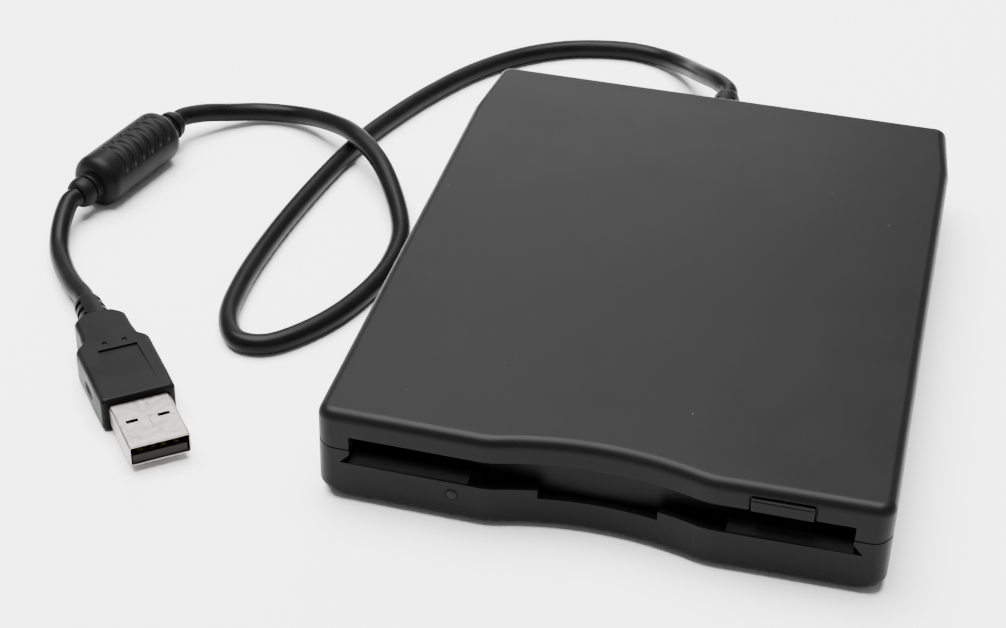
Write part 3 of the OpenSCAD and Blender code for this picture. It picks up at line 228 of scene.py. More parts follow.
class Finish:
    """One procedural material, with its shader ready to be wired"""

    def __init__(self, name, colour, roughness, metallic=0.0, coat=0.0, gloss=0.5):
        self.material = bpy.data.materials.new(name)
        self.material.use_nodes = True
        self.tree = self.material.node_tree
        self.shader = self.tree.nodes["Principled BSDF"]
        self.material.diffuse_color = (*colour, 1)
        self.set("Base Color", (*colour, 1))
        self.set("Roughness", roughness)
        self.set("Metallic", metallic)
        self.set("Coat Weight", coat)
        self.set("Specular IOR Level", gloss)

    def set(self, socket, value):
        """Puts a number, a colour or a signal on one of the shader's sockets"""
        target = self.shader.inputs[socket]
        if isinstance(value, Signal):
            self.tree.links.new(value.socket, target)
        else:
            target.default_value = value

    def node(self, kind, settings=None, *values, output=0, at=None, **named):
        """Adds a node of that type: its settings first, then its sockets by place or name"""
        made = self.tree.nodes.new(kind)
        for key, value in (settings or {}).items():
            if key == "stops":
                ramp = made.color_ramp
                while len(ramp.elements) < len(value):
                    ramp.elements.new(0.5)
                for element, (place, shade) in zip(ramp.elements, value):
                    element.position, element.color = place, (*shade, 1)
            else:
                setattr(made, key, value)
        wanted = list(enumerate(values)) + list((at or {}).items())
        wanted += [(key.replace("_", " "), value) for key, value in named.items()]
        for key, value in wanted:
            if isinstance(value, Signal):
                self.tree.links.new(value.socket, made.inputs[key])
            else:
                made.inputs[key].default_value = value
        return Signal(self, made.outputs[output])

    def place(self):
        """The point in the object's own coordinates, in metres"""
        return self.node("ShaderNodeTexCoord", output="Object")

    def noise(self, width, detail=2.0, roughness=0.5, stretch=None):
        """Noise whose blobs are about that many metres wide"""
        at = self.place()
        if stretch:
            at = self.node("ShaderNodeVectorMath", {"operation": "MULTIPLY"}, at, stretch)
        return self.node("ShaderNodeTexNoise", None, Vector=at, Scale=1 / width,
                         Detail=detail, Roughness=roughness)

    def spread(self, signal, low, high, start=0.3, end=0.7):
        """Maps a signal from start..end to low..high, clamped"""
        return self.node("ShaderNodeMapRange", None, signal, start, end, low, high)

    def shades(self, signal, *stops):
        """Colour ramp: pairs of place and colour"""
        return self.node("ShaderNodeValToRGB", {"stops": stops}, signal)

    def blend(self, factor, low, high):
        """Mix of two colours"""
        low, high = (c if isinstance(c, Signal) else (*c[:3], 1) for c in (low, high))
        return self.node("ShaderNodeMix", {"data_type": "RGBA"}, output=2,
                         at={0: factor, 6: low, 7: high})

    def mottle(self, signal, colour, dark, light, start=0.3, end=0.7):
        """From a darker to a lighter tone of a colour as a signal goes from start to end"""
        return self.blend(self.spread(signal, 0, 1, start, end),
                          tone(colour, dark), tone(colour, light))

    def complete(self, colour, roughness, height, distance, strength):
        """Wires colour, roughness and a relief of some metres, and gives the material"""
        self.set("Base Color", colour)
        self.set("Roughness", roughness)
        self.set("Normal", self.node("ShaderNodeBump", None, Strength=strength,
                                     Distance=distance, Height=height))
        return self.material


def tone(colour, share):
    """A colour made lighter or darker by a share"""
    return tuple(min(1, c * share) for c in colour)


# ---------- finishes ----------

def moulded_plastic(name, colour, grain, roughness, depth=0.00002, gloss=0.5, dust=False):
    """Spark-eroded moulded plastic: fine grain, slow changes in shade, a little handling shine"""
    finish = Finish(name, colour, roughness, gloss=gloss)
    fine = finish.noise(grain, 3, 0.65)
    shade = finish.mottle(finish.noise(0.045, 2), colour, 0.93, 1.07)
    shade = finish.blend(finish.spread(fine, 0, 0.35, 0.45, 0.75), shade, tone(colour, 1.5))
    if dust:
        speck = finish.noise(0.0011, 1, 0.4)
        shade = finish.blend(finish.spread(speck, 0, 0.5, 0.83, 0.9), shade, (0.2, 0.2, 0.2))
    worn = finish.spread(finish.noise(0.018, 3, 0.6), roughness - 0.04, roughness + 0.05)
    return finish.complete(shade, worn + fine * 0.06, fine, depth, 0.7)


def soft_vinyl(name, colour, roughness, width, gloss):
    """Vinyl sheath or overmoulding: satin, faintly drawn along, with soft blotches"""
    finish = Finish(name, colour, roughness, gloss=gloss)
    blotch = finish.noise(0.009, 3, 0.55)
    fine = finish.noise(width, 2, 0.6)
    return finish.complete(
        finish.mottle(blotch, colour, 0.85, 1.2),
        finish.spread(blotch, roughness - 0.06, roughness + 0.06), fine + blotch * 0.5, 0.00002,
        0.6)


def sheet_metal(name, colour, roughness, stretch=(1, 18, 1)):
    """Rolled or plated metal with fine lines along the roll and cloudy plating"""
    finish = Finish(name, colour, roughness, metallic=1.0)
    lines = finish.noise(0.004, 4, 0.7, stretch)
    return finish.complete(
        finish.mottle(finish.noise(0.012, 3, 0.6), colour, 0.9, 1.06),
        finish.spread(lines, roughness - 0.07, roughness + 0.1), lines, 0.000006, 0.5)


def turned_metal(name, colour, roughness, rings=0.0004):
    """Turned or drawn metal: fine rings and a few darker smudges"""
    finish = Finish(name, colour, roughness, metallic=1.0)
    smudge = finish.noise(0.003, 3, 0.6)
    ring = finish.noise(rings, 2, 0.5, (1, 0.2, 1))
    return finish.complete(
        finish.mottle(smudge, colour, 0.82, 1, 0.35, 0.65),
        finish.spread(ring, roughness - 0.05, roughness + 0.12), ring, 0.000004, 0.4)


def circuit_board(name, colour):
    """Solder mask over copper tracks, with pads and glass weave"""
    finish = Finish(name, colour, 0.35, coat=0.3)
    at = finish.place()
    tracks = finish.node("ShaderNodeTexBrick", {"offset": 0.37, "squash": 1.0}, Vector=at,
                         Scale=260.0, Mortar_Size=0.09, Mortar_Smooth=0.1, Bias=0.0,
                         Brick_Width=2.6, Row_Height=0.55, output=1)
    pads = finish.node("ShaderNodeTexVoronoi", {"feature": "F1"}, Vector=at, Scale=330.0,
                       Randomness=0.35)
    pad = pads < 0.17
    weave = finish.noise(0.0009, 2, 0.5)
    base = finish.blend(tracks, finish.mottle(weave, colour, 0.8, 1.15), tone(colour, 2.1))
    finish.set("Metallic", pad * 0.8)
    return finish.complete(
        finish.blend(pad, base, (0.55, 0.5, 0.4)), finish.spread(weave, 0.3, 0.42) + pad * 0.1,
        tracks + pad, 0.00003, 0.5)


def wound_copper(name, colour):
    """Enamelled wire laid side by side, with painted shade in the dark half of each band between the
    turns
    """
    finish = Finish(name, colour, 0.3, metallic=0.9, coat=0.5)
    turns = finish.node("ShaderNodeTexWave", {"wave_type": "BANDS", "bands_direction": "Z"},
                        Vector=finish.place(), Scale=900.0, Distortion=0.6, Detail=1.0, output=1)
    return finish.complete(
        # the darker tone in each band is painted shade between the turns of wire, not a colour of
        # the enamel
        finish.blend(turns, tone(colour, 0.35), colour),
        finish.spread(finish.noise(0.0012, 2, 0.6), 0.22, 0.42), turns, 0.00005, 0.8)


def chip_epoxy(name, colour):
    """Moulded epoxy with a fine matt grain"""
    finish = Finish(name, colour, 0.5)
    grain = finish.noise(0.00015, 3, 0.7)
    return finish.complete(
        finish.mottle(grain, colour, 0.8, 1.6), finish.spread(finish.noise(0.004, 2), 0.42, 0.58),
        grain, 0.00001, 0.7)


def cast_ferrite(name, colour):
    """Sintered ferrite: dark, speckled, slightly metallic"""
    finish = Finish(name, colour, 0.45, metallic=0.4)
    grain = finish.noise(0.0002, 4, 0.75)
    speckle = finish.shades(grain, (0.35, tone(colour, 0.5)), (0.6, colour),
                            (0.75, tone(colour, 2.4)))
    return finish.complete(speckle, finish.spread(grain, 0.35, 0.6), grain, 0.00002, 0.7)


def lamp_lens(name, colour):
    """Diffusing lens of the activity lamp, unlit"""
    finish = Finish(name, colour, 0.45, gloss=0.1)
    haze = finish.noise(0.0005, 2, 0.5)
    return finish.complete(
        finish.mottle(haze, colour, 0.7, 1), finish.spread(haze, 0.36, 0.5), haze, 0.00001, 0.4)


def wire_sleeves(name):
    """Four insulated wires, told apart by where each lies across the header"""
    finish = Finish(name, (0.4, 0.05, 0.04), 0.4)
    across = finish.node("ShaderNodeSeparateXYZ", None, finish.place())
    red, white, green, black = (0.45, 0.02, 0.02), (0.75, 0.74, 0.7), (0.03, 0.3, 0.06), (0.015,) * 3
    bands = (((0.0, 0.28), red), ((0.3, 0.49), white), ((0.51, 0.7), green), ((0.72, 1.0), black))
    sleeves = finish.shades(finish.spread(across, 0, 1, -0.004, 0.004),
                            *[(end, colour) for band, colour in bands for end in band])
    shade = finish.noise(0.001, 2)
    return finish.complete(
        finish.blend(shade * 0.25, sleeves, (0.05, 0.05, 0.05)), finish.spread(shade, 0.34, 0.48),
        shade, 0.00001, 0.4)


def nickel_shell(name, colour):
    """Bright nickel on formed sheet: lines along the plug, faint clouds, soft dents"""
    finish = Finish(name, colour, 0.28, metallic=1.0)
    lines = finish.noise(0.0016, 4, 0.7, (1.2, 1.0, 9))
    cloud = finish.noise(0.006, 3, 0.6)
    return finish.complete(
        finish.mottle(cloud, colour, 0.88, 1.08), finish.spread(lines, 0.26, 0.42),
        lines * 0.3 + cloud, 0.00002, 0.6)


def finishes(case, lead):
    """The kind of finish of each of the record's material slots, with its settings"""
    shell = dict(colour=case.plastic, gloss=case.gloss)
    cover = dict(gloss=lead.gloss)
    return {
        "case_plastic": (moulded_plastic, dict(shell, grain=case.grain, roughness=0.36, dust=True)),
        "button_plastic": (moulded_plastic, dict(shell, grain=0.0004, roughness=0.34)),
        "door_plastic": (moulded_plastic, dict(shell, grain=0.0005, roughness=0.36,
                                               depth=0.00001)),
        "white_plastic": (moulded_plastic, dict(
            colour=(0.72, 0.71, 0.66), grain=0.0006, roughness=0.45, depth=0.00001)),
        "black_resin": (moulded_plastic, dict(
            colour=(0.011, 0.0095, 0.008), grain=0.0003, roughness=0.55, gloss=0.12)),
        "foot_rubber": (soft_vinyl, dict(
            colour=(0.008,) * 3, roughness=0.75, width=0.0004, gloss=0.2)),
        "lead_rubber": (soft_vinyl, dict(
            cover, colour=lead.moulding, roughness=0.45, width=0.00035)),
        "lead_sheath": (soft_vinyl, dict(cover, colour=lead.sheath, roughness=0.36, width=0.0008)),
        "nickel_plate": (nickel_shell, dict(colour=lead.metal)),
        "dark_screws": (turned_metal, dict(colour=(0.06, 0.06, 0.065), roughness=0.35)),
        "plated_screws": (turned_metal, dict(colour=(0.58, 0.57, 0.52), roughness=0.3)),
        "spring_steel": (turned_metal, dict(colour=(0.5,) * 3, roughness=0.25, rings=0.0008)),
        "bright_steel": (turned_metal, dict(colour=(0.62, 0.62, 0.63), roughness=0.16)),
        "bronze": (turned_metal, dict(colour=(0.42, 0.27, 0.14), roughness=0.4)),
        "gold_contacts": (turned_metal, dict(colour=(0.5, 0.33, 0.12), roughness=0.32)),
        "zinc_sheet": (sheet_metal, dict(colour=(0.56, 0.57, 0.58), roughness=0.34)),
        "motor_can": (sheet_metal, dict(colour=(0.6,) * 3, roughness=0.3, stretch=(1, 6, 1))),
        "lamp_lens": (lamp_lens, dict(colour=(0.004, 0.005, 0.004))),
        "ferrite": (cast_ferrite, dict(colour=(0.05, 0.05, 0.052))),
        "copper_wire": (wound_copper, dict(colour=(0.62, 0.25, 0.1))),
        "circuit_board": (circuit_board, dict(colour=(0.012, 0.09, 0.03))),
        "head_ceramic": (chip_epoxy, dict(colour=(0.5, 0.48, 0.43))),
        "chip_epoxy": (chip_epoxy, dict(colour=(0.02, 0.02, 0.021))),
        "wire_sleeves": (wire_sleeves, {}),
    }


def finish_of(slot):
    """The material of one of the record's slots, made the first time that it is asked for"""
    made = bpy.data.materials.get("finish_" + slot)
    if not made:
        scene = bpy.context.scene
        kind, settings = finishes(scene.floppy_case, scene.floppy_lead)[slot]
        made = kind("finish_" + slot, **settings)
    return made


# ---------- mesh tools ----------

def unit(v):
    return Vector(v).normalized()


def corner(p, q, s, r, n):
    """Points of the arc that rounds the corner q between p and s, seen from above"""
    p, q, s = Vector(p), Vector(q), Vector(s)
    u, v = unit(p - q), unit(s - q)
    half = math.acos(max(-1, min(1, u.dot(v)))) / 2
    centre = q + unit(u + v) * r / math.sin(half)
    a, b = q + u * r / math.tan(half) - centre, q + v * r / math.tan(half) - centre
    first = math.atan2(a.y, a.x)
    sweep = math.atan2(b.y, b.x) - first
    sweep += 2 * math.pi if sweep < -math.pi else -2 * math.pi if sweep > math.pi else 0
    return [centre + r * Vector((math.cos(first + sweep * k / n), math.sin(first + sweep * k / n)))
            for k in range(n + 1)]


def quarter(steps):
    """Angles from 0 to a right angle"""
    return [math.pi / 2 * k / steps for k in range(steps + 1)]


def outline(inset, more):
    """Outline of the case seen from above, moved in, with front corners rounder by more"""
    turns, arc_steps = 10, 36
    hw, yf, yr = BODY_W / 2 - inset, FRONT_Y + inset, REAR_Y - inset
    radius = (RECESS_HALF ** 2 + RECESS_DEPTH ** 2) / (2 * RECESS_DEPTH)
    middle = FRONT_Y + RECESS_DEPTH - radius
    r = radius + inset
    half = math.asin(math.sqrt(r * r - (yf - middle) ** 2) / r)
    arc = [Vector((r * math.cos(math.pi / 2 + half - 2 * half * k / arc_steps),
                   middle + r * math.sin(math.pi / 2 + half - 2 * half * k / arc_steps)))
           for k in range(arc_steps + 1)]
    fl, fr = (-hw, yf + FRONT_SWEEP), (hw, yf + FRONT_SWEEP)
    kl, kr = (-hw, REAR_Y - TAPER_LEN), (hw, REAR_Y - TAPER_LEN)
    rr, rl = (hw - TAPER_IN, yr), (-hw + TAPER_IN, yr)
    rf, rb = max(0.3, FRONT_CORNER + more - inset), max(0.3, REAR_CORNER - inset)
    soft = 13.5 - inset
    arc = (corner(fl, arc[0], arc[2], soft, 6) + arc[3:-3]
           + corner(arc[-3], arc[-1], fr, soft, 6))
    return (corner(kl, fl, arc[0], rf, turns) + arc + corner(arc[-1], fr, kr, rf, turns)
            + [Vector(kr)] + corner(kr, rr, rl, rb, turns) + corner(rr, rl, kl, rb, turns)
            + [Vector(kl)])


def new_object(name, build):
    """Object of a mesh that build fills in millimetres"""
    mesh = bmesh.new()
    build(mesh)
    bmesh.ops.recalc_face_normals(mesh, faces=mesh.faces)
    bmesh.ops.scale(mesh, vec=(0.001,) * 3, verts=mesh.verts)
    data = bpy.data.meshes.new(name)
    mesh.to_mesh(data)
    mesh.free()
    made = bpy.data.objects.new(name, data)
    bpy.context.scene.collection.objects.link(made)
    return made


def add_rings(mesh, rings, closed=True):
    """Skin through rings of equally many points, closed by a face at each end or open"""
    rows = [[mesh.verts.new(p) for p in ring] for ring in rings]
    n = len(rows[0])
    for low, high in zip(rows, rows[1:]):
        for j in range(n):
            mesh.faces.new((low[j], low[(j + 1) % n], high[(j + 1) % n], high[j]))
    if closed:
        mesh.faces.new(rows[0][::-1])
        mesh.faces.new(rows[-1])
    return rows


def add_box(mesh, x, y, z):
    """Box from its ranges"""
    add_rings(mesh, [[(x[0], y[0], h), (x[1], y[0], h), (x[1], y[1], h), (x[0], y[1], h)]
                     for h in z])


def add_prism(mesh, points, low, high, axis):
    """Prism of an outline drawn in the side view along x, or in the front view along y"""
    turn = {"x": lambda a, b, h: (h, a, b), "y": lambda a, b, h: (a, h, b)}[axis]
    add_rings(mesh, [[turn(a, b, h) for a, b in points] for h in (low, high)])


def add_turned(mesh, profile, place, steps):
    """Solid of revolution: profile of (radius, distance), placed by a matrix along its X"""
    rings = []
    for r, s in profile:
        rings.append([place @ Vector((s, max(r, 0.01) * math.cos(2 * math.pi * k / steps),
                                      max(r, 0.01) * math.sin(2 * math.pi * k / steps)))
                      for k in range(steps)])
    add_rings(mesh, rings)


def add_pin(mesh, place, radius, low, high, steps=32):
    """Round pin along the X of a placing matrix"""
    add_turned(mesh, [(radius, low), (radius, high)], place, steps)


def add_hull(mesh, points):
    """Convex solid round a few points"""
    made = bmesh.ops.convex_hull(mesh, input=[mesh.verts.new(p) for p in points])
    loose = [v for v in made["geom_interior"] if isinstance(v, bmesh.types.BMVert)]
    if loose:
        bmesh.ops.delete(mesh, geom=loose, context="VERTS")


def upright(x, y):
    """Places the X of a pin straight up at a point of the ground plan"""
    return Matrix.Translation((x, y, 0)) @ Matrix.Rotation(-math.pi / 2, 4, "Y")


def rearward(x, z):
    """Places the X of a pin straight back at a point of the front view"""
    return Matrix.Translation((x, 0, z)) @ Matrix.Rotation(math.pi / 2, 4, "Z")


def span(side, low, high):
    """A range across the drive: on its right for side 1, mirrored to its left for -1"""
    return sorted((side * low, side * high))


def settle(obj):
    """Gives an object the mesh that its modifiers make, and drops them"""
    bpy.context.view_layer.update()
    shaped = obj.evaluated_get(bpy.context.evaluated_depsgraph_get())
    data = bpy.data.meshes.new_from_object(shaped)
    obj.modifiers.clear()
    obj.data = data


def carve(obj, build):
    """Cuts away what build draws"""
    tool = new_object(obj.name + "_tool", build)
    cut = obj.modifiers.new("cut", "BOOLEAN")
    cut.operation, cut.solver, cut.object = "DIFFERENCE", "EXACT", tool
    cut.use_self = True
    settle(obj)
    bpy.data.objects.remove(tool)


def ease(obj, width, angle=32, smooth=35):
    """Rounds the edges sharper than angle, and shades as smooth what bends less than smooth"""
    weld = obj.modifiers.new("weld", "WELD")
    weld.merge_threshold = 0.000002
    if width:
        bevel = obj.modifiers.new("edges", "BEVEL")
        bevel.width, bevel.segments, bevel.miter_outer = width, 2, "MITER_ARC"
        bevel.limit_method, bevel.angle_limit = "ANGLE", math.radians(angle)
    settle(obj)
    obj.data.shade_smooth()
    obj.data.set_sharp_from_angle(angle=math.radians(smooth))
    even = obj.modifiers.new("even", "WEIGHTED_NORMAL")
    even.keep_sharp, even.weight = True, 60
    settle(obj)


def dress(obj, slot, body="base", nodes=()):
    """Finish, body and the nodes that a piece stands for"""
    obj.data.materials.clear()
    obj.data.materials.append(finish_of(slot))
    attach(obj, body)
    if nodes:
        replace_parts(obj, *nodes)


def add_piece(name, build, cuts, edge, slot, body="base", nodes=(), **limits):
    """One piece of the drive: built, cut where it has cuts, eased, dressed and set on its body"""
    obj = new_object(name, build)
    if cuts:
        carve(obj, cuts)
    ease(obj, edge, **limits)
    dress(obj, slot, body, nodes)


# ---------- case ----------

def seam_rise(x, y):
    """How far the parting line lies above its level, in millimetres: up at the front corners"""
    lift = bpy.context.scene.floppy_case.seam * 1000
    if y > FRONT_Y + SEAM_FADE:
        return 0.0
    if y > FRONT_Y + SEAM_BAND:
        return lift * (1 - (y - FRONT_Y - SEAM_BAND) / (SEAM_FADE - SEAM_BAND))
    side = abs(x)
    if side < SLOT_HALF - 1:
        return 0.0
    course = (*SEAM_COURSE, (BODY_W / 2, lift))
    for (a, za), (b, zb) in zip(course, course[1:]):
        if side <= b:
            t = (side - a) / (b - a)
            return za + (zb - za) * t * t * (3 - 2 * t)
    return lift


def chin(z):
    """How much rounder the front corners are close to the underside, in millimetres"""
    return CHIN_MORE * max(0.0, 1 - (z - FLOOR_Z) / CHIN_HEIGHT) ** 1.5


def case_levels(levels, seam):
    """Rings of the case at heights and insets; the height None follows the parting line"""
    return [[(p.x, p.y, SPLIT_Z + seam + seam_rise(p.x, p.y) if z is None else z)
             for p in outline(inset, 0 if z is None else chin(z))] for z, inset in levels]


def relief_bore(mesh):
    """Hole for the strain relief, half in each shell"""
    add_pin(mesh, rearward(0, RELIEF_Z), RELIEF_BORE, REAR_Y - 3, REAR_Y + 1, 48)


def screw_pins(mesh, radius, low, high, steps=32):
    """A round pin at each of the four case screws"""
    for side in (-1, 1):
        for x, y in SCREWS:
            add_pin(mesh, upright(side * x, y), radius, low, high, steps)


def lamp_bore(mesh, depth=4.4):
    """Hole for the lamp, from in front of the case to a depth"""
    add_pin(mesh, rearward(LAMP_X, LAMP_Z), LAMP_BORE, FRONT_Y - 1, FRONT_Y + depth, 32)


def screw_posts(mesh, low, front_top, rear_top):
    """The square posts of the front screws and the round ones of the rear screws"""
    for side in (-1, 1):
        add_box(mesh, span(side, *POST_X), POST_Y, (low, front_top))
        add_pin(mesh, upright(side * REAR_SCREW[0], REAR_SCREW[1]), REAR_POST, low, rear_top, 40)


class FLOPPY_OT_top_cover(bpy.types.Operator):
    """Builds the top cover with its rounded rim, finger recess and slot"""

    bl_idname = "floppy.top_cover"
    bl_label = "Top Cover"

    def execute(self, context):
        def shell(mesh):
            rim = [(BODY_H - TOP_EDGE + TOP_EDGE * math.sin(a), TOP_EDGE * (1 - math.cos(a)))
                   for a in quarter(8)]
            add_rings(mesh, case_levels([(ROOF_Z, WALL), (None, WALL), (None, 0)] + rim,
                                        SEAM_GAP / 2))

        def cuts(mesh):
            notch_x = (BUTTON_X[0] - BUTTON_GAP, BUTTON_X[1] + BUTTON_GAP)
            add_box(mesh, (-SLOT_HALF, SLOT_HALF), (FRONT_Y - 1, SLOT_BACK), (10, SLOT_TOP))
            add_box(mesh, notch_x, (FRONT_Y - 1.2, FRONT_Y + 3),
                    (SLOT_TOP - 0.5, BUTTON_Z[1] + BUTTON_GAP))
            relief_bore(mesh)

        def posts(mesh):
            screw_posts(mesh, SPLIT_Z + 0.05, ROOF_Z + 0.1, ROOF_Z + 0.1)

        def holes(mesh):
            screw_pins(mesh, THREAD_BORE, SPLIT_Z - 1, SCREW_TOP)
            for side in (-1, 1):
                add_pin(mesh, HINGE, 0.9, *span(side, 45.3, 47.6))

        edge = context.scene.floppy_case.edge
        add_piece("cover_shell", shell, cuts, edge, "case_plastic", nodes=["top_cover"])
        add_piece("cover_posts", posts, holes, 0.0001, "case_plastic")
        return {"FINISHED"}


class FLOPPY_OT_bottom_case(bpy.types.Operator):
    """Builds the bottom case with its sill, lead-in ramps and screw wells"""

    bl_idname = "floppy.bottom_case"
    bl_label = "Bottom Case"

    def execute(self, context):
        def shell(mesh):
            rim = [(FLOOR_Z + LOW_EDGE * (1 - math.sin(a)), LOW_EDGE * (1 - math.cos(a)))
                   for a in quarter(6)[::-1]]
            walls = [(2.4, 0), (2.9, 0), (FLOOR_Z + CHIN_HEIGHT, 0), (None, 0), (None, WALL),
                     (FLOOR_TOP + 0.9, WALL), (FLOOR_TOP, WALL)]
            add_rings(mesh, case_levels(rim + walls, -SEAM_GAP / 2))

        def cuts(mesh):
            right = [(TONGUE_HALF, TONGUE_Z), (TONGUE_HALF, SILL_Z), (SLOT_HALF + 1.8, SILL_Z),
                     (SLOT_HALF, SILL_Z + 2), (SLOT_HALF, SPLIT_Z + 2)]
            add_prism(mesh, [(-x, z) for x, z in right[::-1]] + right, FRONT_Y - 1, SLOT_BACK, "y")
            relief_bore(mesh)
            lamp_bore(mesh, 3.2)
            for side in (-1, 1):
                for y in (-FOOT_Y, FOOT_Y):
                    add_pin(mesh, upright(side * FOOT_X, y), FOOT_WELL, FLOOR_Z - 1,
                            FLOOR_Z + 0.5, 64)
            screw_pins(mesh, HEAD_WELL, FLOOR_Z - 1, FLOOR_TOP + 0.5, 48)

        def posts(mesh):
            base = FLOOR_TOP - 0.1
            screw_posts(mesh, base, SPLIT_Z - 0.15, SPLIT_Z - 0.05)
            for side in (-1, 1):
                add_pin(mesh, upright(side * BOARD_POST[0], BOARD_POST[1]), 2.0, base, 5.6)
                for y in CHASSIS_POST_Y:
                    add_pin(mesh, upright(side * CHASSIS_POST_X, y), 2.5, base, 4.6)

        def wells(mesh):
            screw_pins(mesh, HEAD_WELL, 0, 5.0, 48)
            screw_pins(mesh, SHANK_BORE, 0, SPLIT_Z + 1)

        def ramps(mesh):
            slope = [(FRONT_Y + depth, z) for depth, z in (
                (0.36, SILL_Z), (2.2, 10.45), (2.6, 10.6), (3.4, 10.6), (3.4, 6.6), (1.4, 6.6))]
            for side in (-1, 1):
                add_prism(mesh, slope, *span(side, 23.5, SLOT_HALF + 0.2), "x")

        edge = context.scene.floppy_case.edge
        add_piece("case_tray", shell, cuts, edge, "case_plastic", nodes=["bottom_case"])
        add_piece("tray_posts", posts, wells, 0.0001, "case_plastic")
        add_piece("slot_ramps", ramps, lamp_bore, edge, "case_plastic")
        return {"FINISHED"}


class FLOPPY_OT_front_pieces(bpy.types.Operator):
    """Builds the eject button, the dust door and the activity lamp"""

    bl_idname = "floppy.front_pieces"
    bl_label = "Front Pieces"

    def execute(self, context):
        def button(mesh):
            (x0, x1), (z0, z1) = BUTTON_X, BUTTON_Z
            face, back = FRONT_Y - 0.6, FRONT_Y + 4.2
            levels = ((back, 0), (face + 0.35, 0), (face + 0.12, 0.12), (face, 0.4))
            add_rings(mesh, [[(x0 + i, y, z0 + i), (x1 - i, y, z0 + i), (x1 - i, y, z1 - i),
                              (x0 + i, y, z1 - i)] for y, i in levels])
            add_box(mesh, (29.1, 37.1), (back - 0.1, -50.25), (16.9, z1))

        def door(mesh):
            half, low, dip = SLOT_HALF - 0.1, 8.5, 6.4
            edge = [(-half, low), (-RECESS_HALF, low), (-TONGUE_HALF, dip), (TONGUE_HALF, dip),
                    (RECESS_HALF, low), (half, low), (half, HINGE_Z), (-half, HINGE_Z)]
            add_prism(mesh, edge, HINGE_Y - 0.6, HINGE_Y + 0.6, "y")

        def spring_slot(mesh):
            add_box(mesh, (-48, -42.3), (HINGE_Y - 2, HINGE_Y + 2), (14.1, 18))

        def barrel(mesh):
            add_pin(mesh, HINGE, 0.8, -47, 47, 40)

        def lamp(mesh):
            lens, flange, seat = 1.1, 1.4, FRONT_Y + 4.5
            dome = [(lens * math.sin(a), FRONT_Y + 0.12 - 0.3 * math.cos(a)) for a in quarter(8)]
            add_turned(mesh, dome + [(lens, seat), (flange, seat), (flange, seat + 0.8)],
                       rearward(LAMP_X, LAMP_Z), 40)
            for x in (LAMP_X - 0.6, LAMP_X + 0.6):
                add_box(mesh, (x - 0.2, x + 0.2), (seat + 0.75, seat + 1.8), (4.6, 6.7))

        add_piece("button_tab", button, None, 0.00018, "button_plastic", "eject", ["eject_button"])
        add_piece("door_flap", door, spring_slot, 0.0002, "door_plastic", "door", ["dust_door"])
        add_piece("door_rod", barrel, None, 0.0001, "door_plastic", "door")
        add_piece("lamp", lamp, None, 0.00008, "lamp_lens", nodes=["activity_led"], smooth=40)
        return {"FINISHED"}


# ---------- lead ----------

def smooth_route(points):
    """Catmull-Rom curve through a route's points"""
    steps = 8
    p = [Vector(q) for q in points]
    made = []
    for k in range(len(p) - 1):
        a, b, c, d = p[max(k - 1, 0)], p[k], p[k + 1], p[min(k + 2, len(p) - 1)]
        for j in range(steps):
            t = j / steps
            made.append(0.5 * (2 * b + (c - a) * t + (2 * a - 5 * b + 4 * c - d) * t * t
                               + (3 * b - a - 3 * c + d) * t ** 3))
    return made + [p[-1]]


def route_length(points):
    return sum((b - a).length for a, b in zip(points, points[1:]))


def lead_run(name, path, diameter):
    """Round tube along a path, its ends square to its first and last stretch"""
    angles = [2 * math.pi * k / 28 for k in range(28)]

    def build(mesh):
        rings = []
        for k, p in enumerate(path):
            along = unit(path[min(k + 1, len(path) - 1)] - path[max(k - 1, 0)])
            side = unit(along.cross(Vector((0, 0, 1))))
            up = side.cross(along)
            rings.append([(p + diameter / 2 * (math.cos(a) * side + math.sin(a) * up)) * 1000
                          for a in angles])
        add_rings(mesh, rings)

    made = new_object(name, build)
    made.data.shade_smooth()
    made.data.set_sharp_from_angle(angle=math.radians(50))
    return made


class FLOPPY_OT_lead(bpy.types.Operator):
    """Lays the two stretches of the lead"""

    bl_idname = "floppy.lead"
    bl_label = "Lead"

    def execute(self, context):
        width = context.scene.floppy_lead.diameter
        for name, points, node in (("lead_long", LEAD_ROUTE, "cable"),
                                   ("lead_tail", TAIL_ROUTE, "cable_tail")):
            dress(lead_run(name, smooth_route(points), width), "lead_sheath", nodes=[node])
        return {"FINISHED"}


def lying(low, high, z):
    """Places X along the line from one point of the surface to another, with 0 at its middle"""
    a, b = Vector((*low, 0)), Vector((*high, 0))
    along = unit(b - a)
    middle = (a + b) / 2
    turn = Matrix(((along.x, -along.y, 0), (along.y, along.x, 0), (0, 0, 1))).to_4x4()
    return Matrix.Translation((middle.x, middle.y, z)) @ turn


